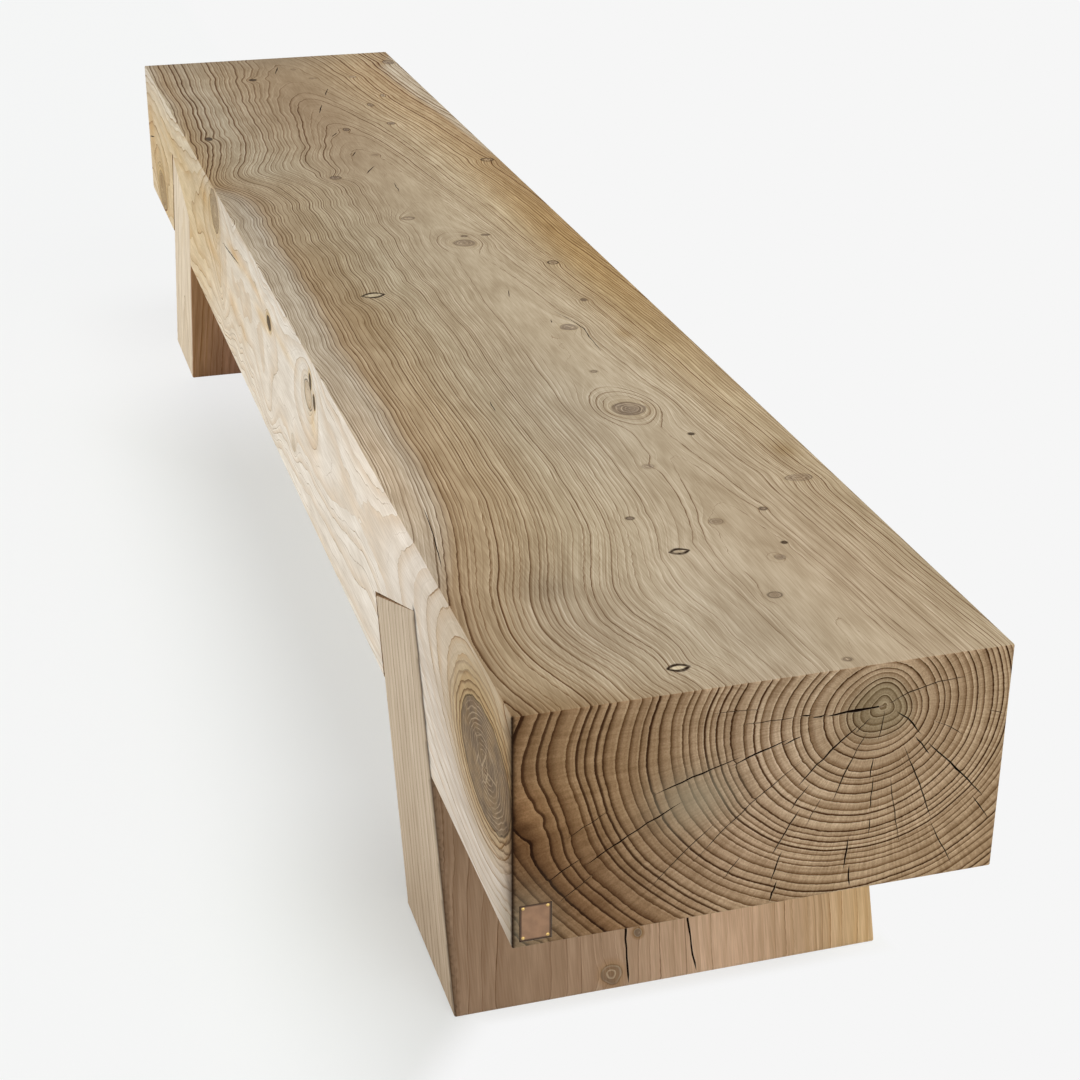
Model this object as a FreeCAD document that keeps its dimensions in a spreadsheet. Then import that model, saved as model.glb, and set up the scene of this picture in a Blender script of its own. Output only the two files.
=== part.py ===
import FreeCAD, Part
import math
import os

import Sketcher
from FreeCAD import Placement, Rotation, Vector

# A bench sawn from one squared log: a solid seat beam on two leaning slab legs.
# Millimetres. X runs along the bench with the plate's end at +X, Z is up, and the
# origin is on the floor under the middle of the seat.

DRIVING_DIMENSIONS = (
    ("beam_length", 2400, "seat beam, end to end"),
    ("beam_width", 440, "seat beam and legs, side to side"),
    ("beam_height", 222, "seat beam, underside to seat"),
    ("seat_height", 447, "floor to seat"),
    ("beam_arris", 2, "rounding of the beam's edges"),
    ("leg_thickness", 186, "slab leg, across its two broad faces"),
    ("leg_lean", 20, "degrees from upright, feet outwards"),
    ("leg_inset", 285, "beam end to the leg's outer face, at the underside"),
    ("leg_arris", 2.5, "bevel of the leg's edges"),
    ("housing_depth", 158, "underside to housing roof, along the leg's outer face"),
    ("housing_slack", 2.5, "gap between the leg's outer face and its housing"),
    ("crown_gap", 4, "gap over the inner edge of the leg's top"),
    ("dowel_diameter", 30, "hidden dowels"),
    ("dowel_length", 130, "half in the leg, half in the beam"),
    ("dowel_spacing", 130, "dowel to dowel, across the bench"),
    ("dowel_bevel", 3, "bevel of the dowel's ends"),
    ("dowel_slack", 0.4, "hole diameter over dowel diameter"),
    ("dowel_end_gap", 3, "room for glue past each end of a dowel"),
    ("plate_width", 27, "metal plate, across the bench"),
    ("plate_height", 35, "metal plate, upright"),
    ("plate_thickness", 1.2, "metal plate"),
    ("plate_corner", 1.5, "rounding of the plate's corners"),
    ("plate_side_margin", 7, "beam side to plate"),
    ("plate_foot_margin", 6, "beam underside to plate"),
    ("plate_slack", 0.6, "gap round the plate in its recess"),
    ("recess_depth", 1.5, "recess for the plate"),
    ("pin_diameter", 1.4, "plate pin, shank"),
    ("pin_length", 10, "plate pin, under its head"),
    ("pin_head_diameter", 3.2, "plate pin, head"),
    ("pin_head_height", 0.9, "plate pin, head"),
    ("pin_margin", 2.8, "plate edge to pin centre"),
    ("pin_slack", 0.1, "hole diameter over pin diameter"),
)

# Lengths worked out from the driving dimensions, as expressions of the sheet.
underside = "(Dimensions.seat_height - Dimensions.beam_height)"
outer_face_x = "(Dimensions.beam_length / 2 - Dimensions.leg_inset)"
crown_x = f"({outer_face_x} - Dimensions.housing_depth * sin(Dimensions.leg_lean))"
crown_z = f"({underside} + Dimensions.housing_depth * cos(Dimensions.leg_lean))"
joint_x = f"({crown_x} - Dimensions.leg_thickness / 2 * cos(Dimensions.leg_lean))"
joint_z = f"({crown_z} - Dimensions.leg_thickness / 2 * sin(Dimensions.leg_lean))"
plate_left = "(Dimensions.plate_side_margin - Dimensions.beam_width / 2)"
plate_foot = f"({underside} + Dimensions.plate_foot_margin)"
recess_floor_x = "(Dimensions.beam_length / 2 - Dimensions.recess_depth)"
dowel_hole_depth = "(Dimensions.dowel_length / 2 + Dimensions.dowel_end_gap)"

# Axes on which a leg leans: the near leg's top goes towards -X, the far leg's towards +X.
NEAR_LEAN_AXIS = Vector(0, -1, 0)
FAR_LEAN_AXIS = Vector(0, 1, 0)

# Sketcher's own numbering: a curve's start, end and centre count up from one, and the sketch's two
# axes count down from minus one. The origin is the start of the horizontal axis.
START, END, CENTRE = range(1, 4)
HORIZONTAL_AXIS, VERTICAL_AXIS = range(-1, -3, -1)
ORIGIN = HORIZONTAL_AXIS

doc = FreeCAD.newDocument("block_bench")


def make_sheet():
    """The spreadsheet of driving dimensions, one row each: name, value, meaning."""
    sheet = doc.addObject("Spreadsheet::Sheet", "Dimensions")
    for row, (name, value, meaning) in enumerate(DRIVING_DIMENSIONS, start=1):
        sheet.set(f"A{row}", name)
        sheet.set(f"B{row}", str(value))
        sheet.setAlias(f"B{row}", name)
        sheet.set(f"C{row}", meaning)
    doc.recompute()
    return sheet


sheet = make_sheet()


def make_body(name):
    body = doc.addObject("PartDesign::Body", name)
    body.Label = name
    return body


def origin_feature(body, role):
    """One of the body's own origin planes or axes, such as XZ_Plane."""
    return next(f for f in body.Origin.OriginFeatures if f.Role == role)


def make_sketch(body, name, role):
    sketch = body.newObject("Sketcher::SketchObject", name)
    sketch.AttachmentSupport = [(origin_feature(body, role), "")]
    sketch.MapMode = "FlatFace"
    return sketch


def bind(thing, expressions):
    """Ties properties of an object to expressions of the sheet."""
    for name, expression in expressions.items():
        thing.setExpression(name, expression)


def limit(sketch, name, expression, *constraint):
    """Adds a named dimension to a sketch and ties it to the sheet."""
    index = sketch.addConstraint(Sketcher.Constraint(*constraint))
    sketch.renameConstraint(index, name)
    sketch.setExpression(f"Constraints.{name}", expression)


def outline(sketch, points):
    """Closed outline of straight lines through the points; returns the lines' numbers."""
    corners = list(points)
    lines = []
    for start, end in zip(corners, corners[1:] + corners[:1]):
        lines.append(sketch.addGeometry(Part.LineSegment(start, end), False))
    for line, following in zip(lines, lines[1:] + lines[:1]):
        sketch.addConstraint(Sketcher.Constraint("Coincident", line, END, following, START))
    return lines


def rectangle(sketch, width, height):
    """Rectangle with its lower left corner on the sketch's origin."""
    # The first guess at the corners only says which way the rectangle grows.
    guess = 10
    corners = (Vector(), Vector(guess, 0, 0), Vector(guess, guess, 0), Vector(0, guess, 0))
    bottom, right, top, left = outline(sketch, corners)
    for level in (bottom, top):
        sketch.addConstraint(Sketcher.Constraint("Horizontal", level))
    for upright in (right, left):
        sketch.addConstraint(Sketcher.Constraint("Vertical", upright))
    sketch.addConstraint(Sketcher.Constraint("Coincident", bottom, START, ORIGIN, START))
    limit(sketch, "width", width, "Distance", bottom, guess)
    limit(sketch, "height", height, "Distance", right, guess)


def pad(body, sketch, name, length, symmetric=False):
    feature = body.newObject("PartDesign::Pad", name)
    feature.Profile = sketch
    feature.SideType = "Symmetric" if symmetric else "One side"
    feature.setExpression("Length", length)
    sketch.Visibility = False
    return feature


def pocket(body, sketch, name, depth, towards_normal=False):
    """Cuts away from the sketch's normal, or towards it; refuses a cut that removes nothing."""
    doc.recompute()
    before = body.Shape.Volume
    feature = body.newObject("PartDesign::Pocket", name)
    feature.Profile = sketch
    feature.Reversed = towards_normal
    feature.setExpression("Length", depth)
    doc.recompute()
    if body.Shape.Volume >= before:
        raise RuntimeError(f"{name} cuts nothing")
    sketch.Visibility = False
    return feature


def leg_profile(body, name, slack="0", crown_gap="0"):
    """Side outline of the near leg, or of its housing, on the XZ plane: a leaning slab with a
    level foot. Slack moves the outer face out, and crown_gap lowers the top's inner edge."""
    sketch = make_sketch(body, name, "XZ_Plane")
    slope = math.radians(sheet.leg_lean)
    up = Vector(-math.sin(slope), math.cos(slope), 0)
    inwards = Vector(-math.cos(slope), -math.sin(slope), 0)
    floor_gap = sheet.seat_height - sheet.beam_height
    mouth = Vector(sheet.beam_length / 2 - sheet.leg_inset, floor_gap, 0)
    outer_foot = mouth - up * (floor_gap / up.y)
    outer_crown = mouth + up * sheet.housing_depth
    inner_crown = outer_crown + inwards * sheet.leg_thickness
    inner_foot = inner_crown - up * (inner_crown.y / up.y)
    outer, crown, inner, foot = outline(sketch, (outer_foot, outer_crown, inner_crown, inner_foot))
    for point in (START, END):
        sketch.addConstraint(Sketcher.Constraint("PointOnObject", foot, point, HORIZONTAL_AXIS))
    sketch.addConstraint(Sketcher.Constraint("Parallel", outer, inner))
    lean = "Dimensions.leg_lean"
    foot_x = f"{outer_face_x} + {underside} * tan({lean}) + {slack} / cos({lean})"
    limit(sketch, "foot_x", foot_x, "DistanceX", ORIGIN, START, outer, START, outer_foot.x)
    limit(sketch, "lean", f"(90 + {lean}) * 1 deg", "Angle", outer, math.pi / 2 + slope)
    thickness = f"Dimensions.leg_thickness + {slack}"
    limit(sketch, "thickness", thickness, "Distance", inner, START, outer, sheet.leg_thickness)
    outer_top = f"{crown_z} + {slack} * sin({lean})"
    limit(sketch, "outer_top", outer_top, "DistanceY", ORIGIN, START, crown, START, outer_crown.y)
    inner_top = f"{crown_z} - Dimensions.leg_thickness * sin({lean}) - {crown_gap} * cos({lean})"
    limit(sketch, "inner_top", inner_top, "DistanceY", ORIGIN, START, crown, END, inner_crown.y)
    return sketch


def dowel_circles(body, name):
    """Three dowel holes on the plane of the near housing's roof, halfway through the leg."""
    sketch = make_sketch(body, name, "XY_Plane")
    sketch.AttachmentOffset = Placement(Vector(), Rotation(NEAR_LEAN_AXIS, sheet.leg_lean))
    bind(sketch, {
        "AttachmentOffset.Base.x": joint_x,
        "AttachmentOffset.Base.z": joint_z,
        "AttachmentOffset.Rotation.Angle": "Dimensions.leg_lean * 1 deg",
    })
    radius = (sheet.dowel_diameter + sheet.dowel_slack) / 2
    spacing = sheet.dowel_spacing
    circles = []
    for y in (-spacing, 0, spacing):
        circles.append(sketch.addGeometry(Part.Circle(Vector(0, y, 0), Vector(0, 0, 1), radius), False))
    left, middle, right = circles
    sketch.addConstraint(Sketcher.Constraint("Coincident", middle, CENTRE, ORIGIN, START))
    for circle in (left, right):
        sketch.addConstraint(Sketcher.Constraint("PointOnObject", circle, CENTRE, VERTICAL_AXIS))
        sketch.addConstraint(Sketcher.Constraint("Equal", middle, circle))
    bore = "Dimensions.dowel_diameter + Dimensions.dowel_slack"
    limit(sketch, "bore", bore, "Diameter", middle, 2 * radius)
    apart = "Dimensions.dowel_spacing"
    limit(sketch, "left_spacing", apart, "DistanceY", left, CENTRE, ORIGIN, START, spacing)
    limit(sketch, "right_spacing", apart, "DistanceY", ORIGIN, START, right, CENTRE, spacing)
    return sketch


def pin_circles(sketch, diameter):
    """Four pin holes, one near each corner of a plate whose lower left corner is the origin."""
    radius = sheet.pin_diameter / 2
    near, width, height = sheet.pin_margin, sheet.plate_width, sheet.plate_height
    margin = "Dimensions.pin_margin"
    across = {"left": (margin, near), "right": (f"Dimensions.plate_width - {margin}", width - near)}
    upwards = {"low": (margin, near), "high": (f"Dimensions.plate_height - {margin}", height - near)}
    for side, (x_rule, x) in across.items():
        for level, (y_rule, y) in upwards.items():
            circle = sketch.addGeometry(Part.Circle(Vector(x, y, 0), Vector(0, 0, 1), radius), False)
            place = f"{side}_{level}"
            limit(sketch, f"{place}_x", x_rule, "DistanceX", ORIGIN, START, circle, CENTRE, x)
            limit(sketch, f"{place}_y", y_rule, "DistanceY", ORIGIN, START, circle, CENTRE, y)
            limit(sketch, f"{place}_bore", diameter, "Diameter", circle, 2 * radius)


def make_beam():
    """The squared log: pad, rounded edges, two housings with dowel holes, and the plate's recess."""
    body = make_body("beam")
    section = make_sketch(body, "beam_section", "YZ_Plane")
    bind(section, {
        "AttachmentOffset.Base.x": "-Dimensions.beam_width / 2",
        "AttachmentOffset.Base.y": underside,
    })
    rectangle(section, "Dimensions.beam_width", "Dimensions.beam_height")
    log = pad(body, section, "squared_log", "Dimensions.beam_length", symmetric=True)
    doc.recompute()
    eased = body.newObject("PartDesign::Fillet", "eased_edges")
    eased.Base = (log, [f"Edge{i + 1}" for i in range(len(log.Shape.Edges))])
    eased.setExpression("Radius", "Dimensions.beam_arris")
    doc.recompute()
    housing_outline = leg_profile(body, "housing_outline", slack="Dimensions.housing_slack")
    housing = body.newObject("PartDesign::Pocket", "housing")
    housing.Profile = housing_outline
    housing.Type = "ThroughAll"
    housing.SideType = "Symmetric"
    holes = pocket(body, dowel_circles(body, "roof_holes_outline"), "roof_holes", dowel_hole_depth,
                   towards_normal=True)
    far_housing = body.newObject("PartDesign::Mirrored", "far_housing")
    far_housing.Originals = [housing, holes]
    far_housing.MirrorPlane = (origin_feature(body, "YZ_Plane"), [""])
    body.Tip = far_housing
    recess_outline = make_sketch(body, "recess_outline", "YZ_Plane")
    bind(recess_outline, {
        "AttachmentOffset.Base.x": f"{plate_left} - Dimensions.plate_slack",
        "AttachmentOffset.Base.y": f"{plate_foot} - Dimensions.plate_slack",
        "AttachmentOffset.Base.z": "Dimensions.beam_length / 2",
    })
    rectangle(recess_outline, "Dimensions.plate_width + 2 * Dimensions.plate_slack",
              "Dimensions.plate_height + 2 * Dimensions.plate_slack")
    pocket(body, recess_outline, "plate_recess", "Dimensions.recess_depth")
    pin_holes_outline = make_sketch(body, "pin_holes_outline", "YZ_Plane")
    bind(pin_holes_outline, {
        "AttachmentOffset.Base.x": plate_left,
        "AttachmentOffset.Base.y": plate_foot,
        "AttachmentOffset.Base.z": recess_floor_x,
    })
    pin_circles(pin_holes_outline, "Dimensions.pin_diameter + Dimensions.pin_slack")
    pocket(body, pin_holes_outline, "pin_holes", "Dimensions.pin_length")
    return body


def make_leg(name, far):
    """A slab leg: leaning outline, bevelled edges and dowel holes in its top. The far leg is the
    near leg turned half round."""
    body = make_body(name)
    side = leg_profile(body, f"{name}_outline", crown_gap="Dimensions.crown_gap")
    slab = pad(body, side, f"{name}_slab", "Dimensions.beam_width", symmetric=True)
    doc.recompute()
    bevel = body.newObject("PartDesign::Chamfer", f"{name}_bevel")
    bevel.Base = (slab, [f"Edge{i + 1}" for i in range(len(slab.Shape.Edges))])
    bevel.setExpression("Size", "Dimensions.leg_arris")
    pocket(body, dowel_circles(body, f"{name}_holes_outline"), f"{name}_holes", dowel_hole_depth)
    if far:
        body.Placement = Placement(Vector(), Rotation(Vector(0, 0, 1), 180))
    return body


def make_dowel(name, far, side):
    """A bevelled dowel, half below and half above the roof of its housing."""
    body = make_body(name)
    end = make_sketch(body, f"{name}_end", "XY_Plane")
    end.setExpression("AttachmentOffset.Base.z", "-Dimensions.dowel_length / 2")
    radius = sheet.dowel_diameter / 2
    circle = end.addGeometry(Part.Circle(Vector(), Vector(0, 0, 1), radius), False)
    end.addConstraint(Sketcher.Constraint("Coincident", circle, CENTRE, ORIGIN, START))
    limit(end, "diameter", "Dimensions.dowel_diameter", "Diameter", circle, 2 * radius)
    rod = pad(body, end, f"{name}_rod", "Dimensions.dowel_length")
    doc.recompute()
    rims = []
    for number, edge in enumerate(rod.Shape.Edges, start=1):
        if isinstance(edge.Curve, Part.Circle):
            rims.append(f"Edge{number}")
    bevel = body.newObject("PartDesign::Chamfer", f"{name}_bevel")
    bevel.Base = (rod, rims)
    bevel.setExpression("Size", "Dimensions.dowel_bevel")
    lean_axis = FAR_LEAN_AXIS if far else NEAR_LEAN_AXIS
    body.Placement = Placement(Vector(), Rotation(lean_axis, sheet.leg_lean))
    bind(body, {
        "Placement.Base.x": f"-{joint_x}" if far else joint_x,
        "Placement.Base.y": f"{side} * Dimensions.dowel_spacing",
        "Placement.Base.z": joint_z,
        "Placement.Rotation.Angle": "Dimensions.leg_lean * 1 deg",
    })
    return body


def seat_on_recess(body, depth_over_floor="0"):
    """Puts a body's origin on the plate's lower left corner, over the recess's floor."""
    bind(body, {
        "Placement.Base.x": f"{recess_floor_x} + {depth_over_floor}",
        "Placement.Base.y": plate_left,
        "Placement.Base.z": plate_foot,
    })


def make_plate():
    """The metal plate, with rounded corners and a hole for each pin."""
    body = make_body("plate")
    face = make_sketch(body, "plate_face", "YZ_Plane")
    rectangle(face, "Dimensions.plate_width", "Dimensions.plate_height")
    sheet_metal = pad(body, face, "plate_sheet", "Dimensions.plate_thickness")
    doc.recompute()
    corners = []
    for number, edge in enumerate(sheet_metal.Shape.Edges, start=1):
        if abs(edge.tangentAt(edge.FirstParameter).x) > 0.9:
            corners.append(f"Edge{number}")
    rounded = body.newObject("PartDesign::Fillet", "plate_corners")
    rounded.Base = (sheet_metal, corners)
    rounded.setExpression("Radius", "Dimensions.plate_corner")
    holes = make_sketch(body, "plate_holes_outline", "YZ_Plane")
    pin_circles(holes, "Dimensions.pin_diameter + Dimensions.pin_slack")
    pocket(body, holes, "plate_holes", "Dimensions.plate_thickness", towards_normal=True)
    seat_on_recess(body)
    return body


def make_pins():
    """Four identical pins: one turned profile, domed head over a plain shank, repeated at the
    plate's corners. A shank ends short of its hole's floor by the plate's thickness."""
    body = make_body("plate_pins")
    body.AllowCompound = True
    profile = make_sketch(body, "pin_profile", "XY_Plane")
    bind(profile, {"AttachmentOffset.Base.y": "Dimensions.pin_margin"})
    shank = sheet.pin_diameter / 2
    head = sheet.pin_head_diameter / 2
    rise = sheet.pin_head_height
    length = sheet.pin_length
    bottom, top, rim = Vector(-length, 0, 0), Vector(rise, 0, 0), Vector(0, head, 0)
    dome_radius = (head**2 + rise**2) / (2 * rise)
    dome_circle = Part.Circle(Vector(rise - dome_radius, 0, 0), Vector(0, 0, 1), dome_radius)
    step = Vector(0, shank, 0)
    axis_line = profile.addGeometry(Part.LineSegment(top, bottom), False)
    end_line = profile.addGeometry(Part.LineSegment(bottom, bottom + step), False)
    side_line = profile.addGeometry(Part.LineSegment(bottom + step, step), False)
    under_line = profile.addGeometry(Part.LineSegment(step, rim), False)
    dome = profile.addGeometry(Part.ArcOfCircle(dome_circle, 0, math.asin(head / dome_radius)), False)
    for line, following in ((axis_line, end_line), (end_line, side_line), (side_line, under_line)):
        profile.addConstraint(Sketcher.Constraint("Coincident", line, END, following, START))
    profile.addConstraint(Sketcher.Constraint("Coincident", under_line, END, dome, END))
    profile.addConstraint(Sketcher.Constraint("Coincident", dome, START, axis_line, START))
    for end in (START, END):
        profile.addConstraint(Sketcher.Constraint("PointOnObject", axis_line, end, HORIZONTAL_AXIS))
    profile.addConstraint(Sketcher.Constraint("PointOnObject", dome, CENTRE, HORIZONTAL_AXIS))
    profile.addConstraint(Sketcher.Constraint("Vertical", end_line))
    profile.addConstraint(Sketcher.Constraint("Horizontal", side_line))
    profile.addConstraint(Sketcher.Constraint("PointOnObject", under_line, START, VERTICAL_AXIS))
    profile.addConstraint(Sketcher.Constraint("PointOnObject", under_line, END, VERTICAL_AXIS))
    limit(profile, "shank_radius", "Dimensions.pin_diameter / 2", "Distance", end_line, shank)
    limit(profile, "head_radius", "Dimensions.pin_head_diameter / 2",
          "DistanceY", ORIGIN, START, under_line, END, head)
    limit(profile, "head_rise", "Dimensions.pin_head_height",
          "DistanceX", ORIGIN, START, axis_line, START, rise)
    limit(profile, "shank_length", "Dimensions.pin_length",
          "DistanceX", axis_line, END, ORIGIN, START, length)
    turned = body.newObject("PartDesign::Revolution", "turned_pin")
    turned.Profile = profile
    turned.ReferenceAxis = (profile, ["H_Axis"])
    doc.recompute()
    corners = body.newObject("PartDesign::LinearPattern", "pin_corners")
    corners.Originals = [turned]
    corners.Direction = (origin_feature(body, "Y_Axis"), [""])
    corners.Direction2 = (origin_feature(body, "Z_Axis"), [""])
    corners.Occurrences = 2
    corners.Occurrences2 = 2
    bind(corners, {
        "Length": "Dimensions.plate_width - 2 * Dimensions.pin_margin",
        "Length2": "Dimensions.plate_height - 2 * Dimensions.pin_margin",
    })
    body.Tip = corners
    seat_on_recess(body, "Dimensions.plate_thickness")
    body.setExpression("Placement.Base.z", f"{plate_foot} + Dimensions.pin_margin")
    return body


def make_all():
    bodies = [make_beam(), make_leg("near_leg", far=False), make_leg("far_leg", far=True)]
    for leg, far in (("near_leg", False), ("far_leg", True)):
        for place, side in (("left", -1), ("middle", 0), ("right", 1)):
            bodies.append(make_dowel(f"{leg}_dowel_{place}", far, side))
    bodies.append(make_plate())
    bodies.append(make_pins())
    doc.recompute()
    return bodies


def check(bodies):
    """Stops on any failed object and on any shape that is empty or not valid."""
    for thing in doc.Objects:
        if "Invalid" in thing.State or "Error" in thing.State:
            raise RuntimeError(f"{thing.Label} failed: {thing.State}")
    for body in bodies:
        if body.Shape.isNull() or not body.Shape.isValid():
            raise RuntimeError(f"{body.Label} has no valid shape")


def write(bodies):
    os.makedirs("parts", exist_ok=True)
    for body in bodies:
        body.Shape.exportStep(f"parts/{body.Label}.step")
        box = body.Shape.BoundBox
        print(f"{body.Label}: {len(body.Shape.Solids)} solid(s), {body.Shape.Volume / 1000:.2f} cm3, "
              f"X {box.XMin:.1f}..{box.XMax:.1f} Y {box.YMin:.1f}..{box.YMax:.1f} "
              f"Z {box.ZMin:.1f}..{box.ZMax:.1f}")


bodies = make_all()
check(bodies)
write(bodies)
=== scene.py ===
# %% [markdown]
# # A bench sawn from one log
# This lesson dresses a bench: a squared log as the seat, let down over two leaning slab legs, with
# a small bare plate pinned to one end. The joinery is already modelled, so the script starts by
# loading it as a fixed frame, in metres, and everything made here goes where that frame says.
# The look of such a bench is its wood, and the whole lesson is about growing that wood: one tree
# is described in numbers, and every face of the log is a cut through the same tree.

# %% Load the frame
import math

import bpy
import numpy as np
from mathutils import Matrix, Vector
from mathutils.geometry import delaunay_2d_cdt


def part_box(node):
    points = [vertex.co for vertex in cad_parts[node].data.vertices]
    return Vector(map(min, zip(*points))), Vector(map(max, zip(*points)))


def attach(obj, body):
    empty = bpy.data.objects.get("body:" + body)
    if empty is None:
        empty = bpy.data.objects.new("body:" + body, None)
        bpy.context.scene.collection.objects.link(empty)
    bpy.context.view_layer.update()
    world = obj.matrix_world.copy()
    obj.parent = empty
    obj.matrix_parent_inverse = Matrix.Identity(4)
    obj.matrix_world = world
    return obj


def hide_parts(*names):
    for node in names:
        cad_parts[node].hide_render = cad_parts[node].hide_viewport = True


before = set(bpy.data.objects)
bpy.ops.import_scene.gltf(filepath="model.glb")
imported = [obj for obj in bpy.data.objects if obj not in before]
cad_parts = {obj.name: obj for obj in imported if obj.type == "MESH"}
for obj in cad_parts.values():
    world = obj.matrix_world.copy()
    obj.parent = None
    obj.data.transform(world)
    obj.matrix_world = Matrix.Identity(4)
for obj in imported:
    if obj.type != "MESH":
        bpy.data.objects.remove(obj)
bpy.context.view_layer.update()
MM = 0.001
beam_low, beam_high = (np.array(corner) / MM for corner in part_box("beam"))
print("beam, mm:", beam_low.round(1), beam_high.round(1))

# %% [markdown]
# ## Camera
# The picture was taken from above the near left corner with a longish lens. The place and the
# directions below came from lining up the corners of the beam and the feet with the picture.
# A camera looks along its own -Z, so the matrix holds right, up and back as its columns.

# %% Camera
CAMERA_PLACE = Vector((2.5662, -0.6055, 1.2711))
CAMERA_FORWARD = Vector((-0.86644, 0.25892, -0.42690)).normalized()
CAMERA_RIGHT = Vector((0.28452, 0.95866, 0.00399)).normalized()
LENS_MM = 69.46


def make_camera():
    lens = bpy.data.cameras.new("camera")
    lens.lens = LENS_MM
    camera = bpy.data.objects.new("camera", lens)
    up = CAMERA_RIGHT.cross(CAMERA_FORWARD)
    turn = Matrix((CAMERA_RIGHT, up, -CAMERA_FORWARD)).transposed()
    camera.matrix_world = Matrix.Translation(CAMERA_PLACE) @ turn.to_4x4()
    bpy.context.scene.collection.objects.link(camera)
    bpy.context.scene.camera = camera
    return camera


print("camera at", make_camera().location)

# %% [markdown]
# ## Small helpers for shader nodes
# Shader trees are easier to read when one line makes one node. `add` makes a node and fills its
# inputs: a socket is linked and a plain value is set. The other helpers are the sums that wood
# needs again and again: products, a soft step between two values, a mix of two colours, noise, and
# one random value for each whole number.

# %% Node helpers
# places of the share and the two colours among a mix node's inputs, and of its colour output
MIX_INPUTS, MIX_COLOUR = (0, 6, 7), 2


def srgb(red, green, blue):
    """A colour as a picture editor shows it, 0 to 255, as linear RGBA."""
    return tuple(((c / 255 + 0.055) / 1.055) ** 2.4 for c in (red, green, blue)) + (1.0,)


def fill(tree, socket, value):
    """Links another socket to this one, or sets a plain value on it."""
    if isinstance(value, bpy.types.NodeSocket):
        tree.links.new(value, socket)
    else:
        socket.default_value = value


def add(tree, kind, inputs=None, **settings):
    node = tree.nodes.new(kind)
    for name, value in settings.items():
        setattr(node, name, value)
    for name, value in (inputs or {}).items():
        fill(tree, node.inputs[name], value)
    return node


def maths(tree, operation, first, second=0.0, clamp=False):
    inputs = {0: first, 1: second}
    return add(tree, "ShaderNodeMath", inputs, operation=operation, use_clamp=clamp).outputs[0]


def product(tree, first, *others):
    """All the values multiplied, one after the other."""
    for value in others:
        first = maths(tree, "MULTIPLY", first, value)
    return first


def rest(tree, share):
    """What a share leaves of one."""
    return maths(tree, "SUBTRACT", 1.0, share)


def step(tree, value, low, high, to_low=0.0, to_high=1.0):
    """A soft step from one value to another as the input goes from low to high."""
    inputs = {"Value": value, "From Min": low, "From Max": high, "To Min": to_low, "To Max": to_high}
    return add(tree, "ShaderNodeMapRange", inputs, interpolation_type="SMOOTHSTEP").outputs["Result"]


def mix(tree, share, first, second, blend="MIX"):
    inputs = dict(zip(MIX_INPUTS, (share, first, second)))
    return add(tree, "ShaderNodeMix", inputs, data_type="RGBA", blend_type=blend).outputs[MIX_COLOUR]


def axes(tree, vector):
    """The three parts of a vector."""
    return add(tree, "ShaderNodeSeparateXYZ", {0: vector}).outputs


def scaled(tree, vector, by):
    """A vector multiplied by another, part by part."""
    return add(tree, "ShaderNodeVectorMath", {0: vector, 1: by}, operation="MULTIPLY").outputs[0]


def noise(tree, vector, scale, detail):
    inputs = {"Vector": vector, "Scale": scale, "Detail": detail}
    return add(tree, "ShaderNodeTexNoise", inputs).outputs[0]


def chance(tree, number):
    """A random value between 0 and 1 for each whole number."""
    return add(tree, "ShaderNodeTexWhiteNoise", {"W": number}, noise_dimensions="1D").outputs["Value"]


def show_both(tree, share, first, second, output):
    """Mixes two shaders into the surface of an output node."""
    both = add(tree, "ShaderNodeMixShader", {0: share, 1: first, 2: second})
    tree.links.new(both.outputs[0], tree.nodes[output].inputs["Surface"])


def new_group(name, inputs, outputs):
    """An empty shader group with float or vector sockets, and its inner in and out nodes."""
    group = bpy.data.node_groups.new(name, "ShaderNodeTree")
    for direction, sockets in (("INPUT", inputs), ("OUTPUT", outputs)):
        for socket, kind in sockets.items():
            group.interface.new_socket(name=socket, in_out=direction, socket_type=f"NodeSocket{kind}")
    return group, group.nodes.new("NodeGroupInput").outputs, group.nodes.new("NodeGroupOutput").inputs


def place(tree, group, **inputs):
    """Puts a group into a tree, fills its inputs and gives its outputs."""
    return add(tree, "ShaderNodeGroup", inputs, node_tree=group).outputs


def new_material(name):
    material = bpy.data.materials.new(name)
    material.use_nodes = True
    return material, material.node_tree, material.node_tree.nodes["Principled BSDF"]


print("node helpers ready")

# %% [markdown]
# ## The floor
# The bench stands on a white sweep. A white sweep in a picture is nearly as bright in the shade as
# in the light, so the camera sees the floor partly lit and partly glowing: the shadow stays, but
# softly. In front and on the right the sweep is burnt out to plain white, so there it only glows.
# Further back and to the left it glows more than close to the bench. Two places glow less: the
# floor beside the near foot, and a thin line where the front edge of the near sole meets it.

# %% Floor
FLOOR_REACH = 30.0
FLOOR_COLOUR, FLOOR_ROUGHNESS = srgb(242, 247, 245), 0.9
BACKGROUND = srgb(246, 246, 246)
# how much of the floor's look is glow: near the bench, in the open, and where it is burnt out
BENCH_GLOW, OPEN_GLOW, FULL_GLOW = 0.47, 0.85, 1.0
# metres over which the glow changes: ahead on a slant, to the right, to the back, to the left
AHEAD_SLANT = 1.2
AHEAD_EDGE, RIGHT_EDGE, BACK_EDGE, LEFT_EDGE = (0.70, 0.80), (0.1, 0.25), (-0.3, -0.9), (-0.18, -0.58)
# the darker place beside the near foot: its middle, its reach and the glow that it loses
FOOT_SHADE, FOOT_REACH, FOOT_LOSS = (0.80, -0.30, 0.0), 0.28, 0.2
# the line under the near sole's front edge: its place, its reach, its glow and where it ends
SOLE_FRONT, SOLE_REACH, SOLE_GLOW, SOLE_END = 0.997, 0.025, 0.75, (0.2, 0.24)


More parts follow.
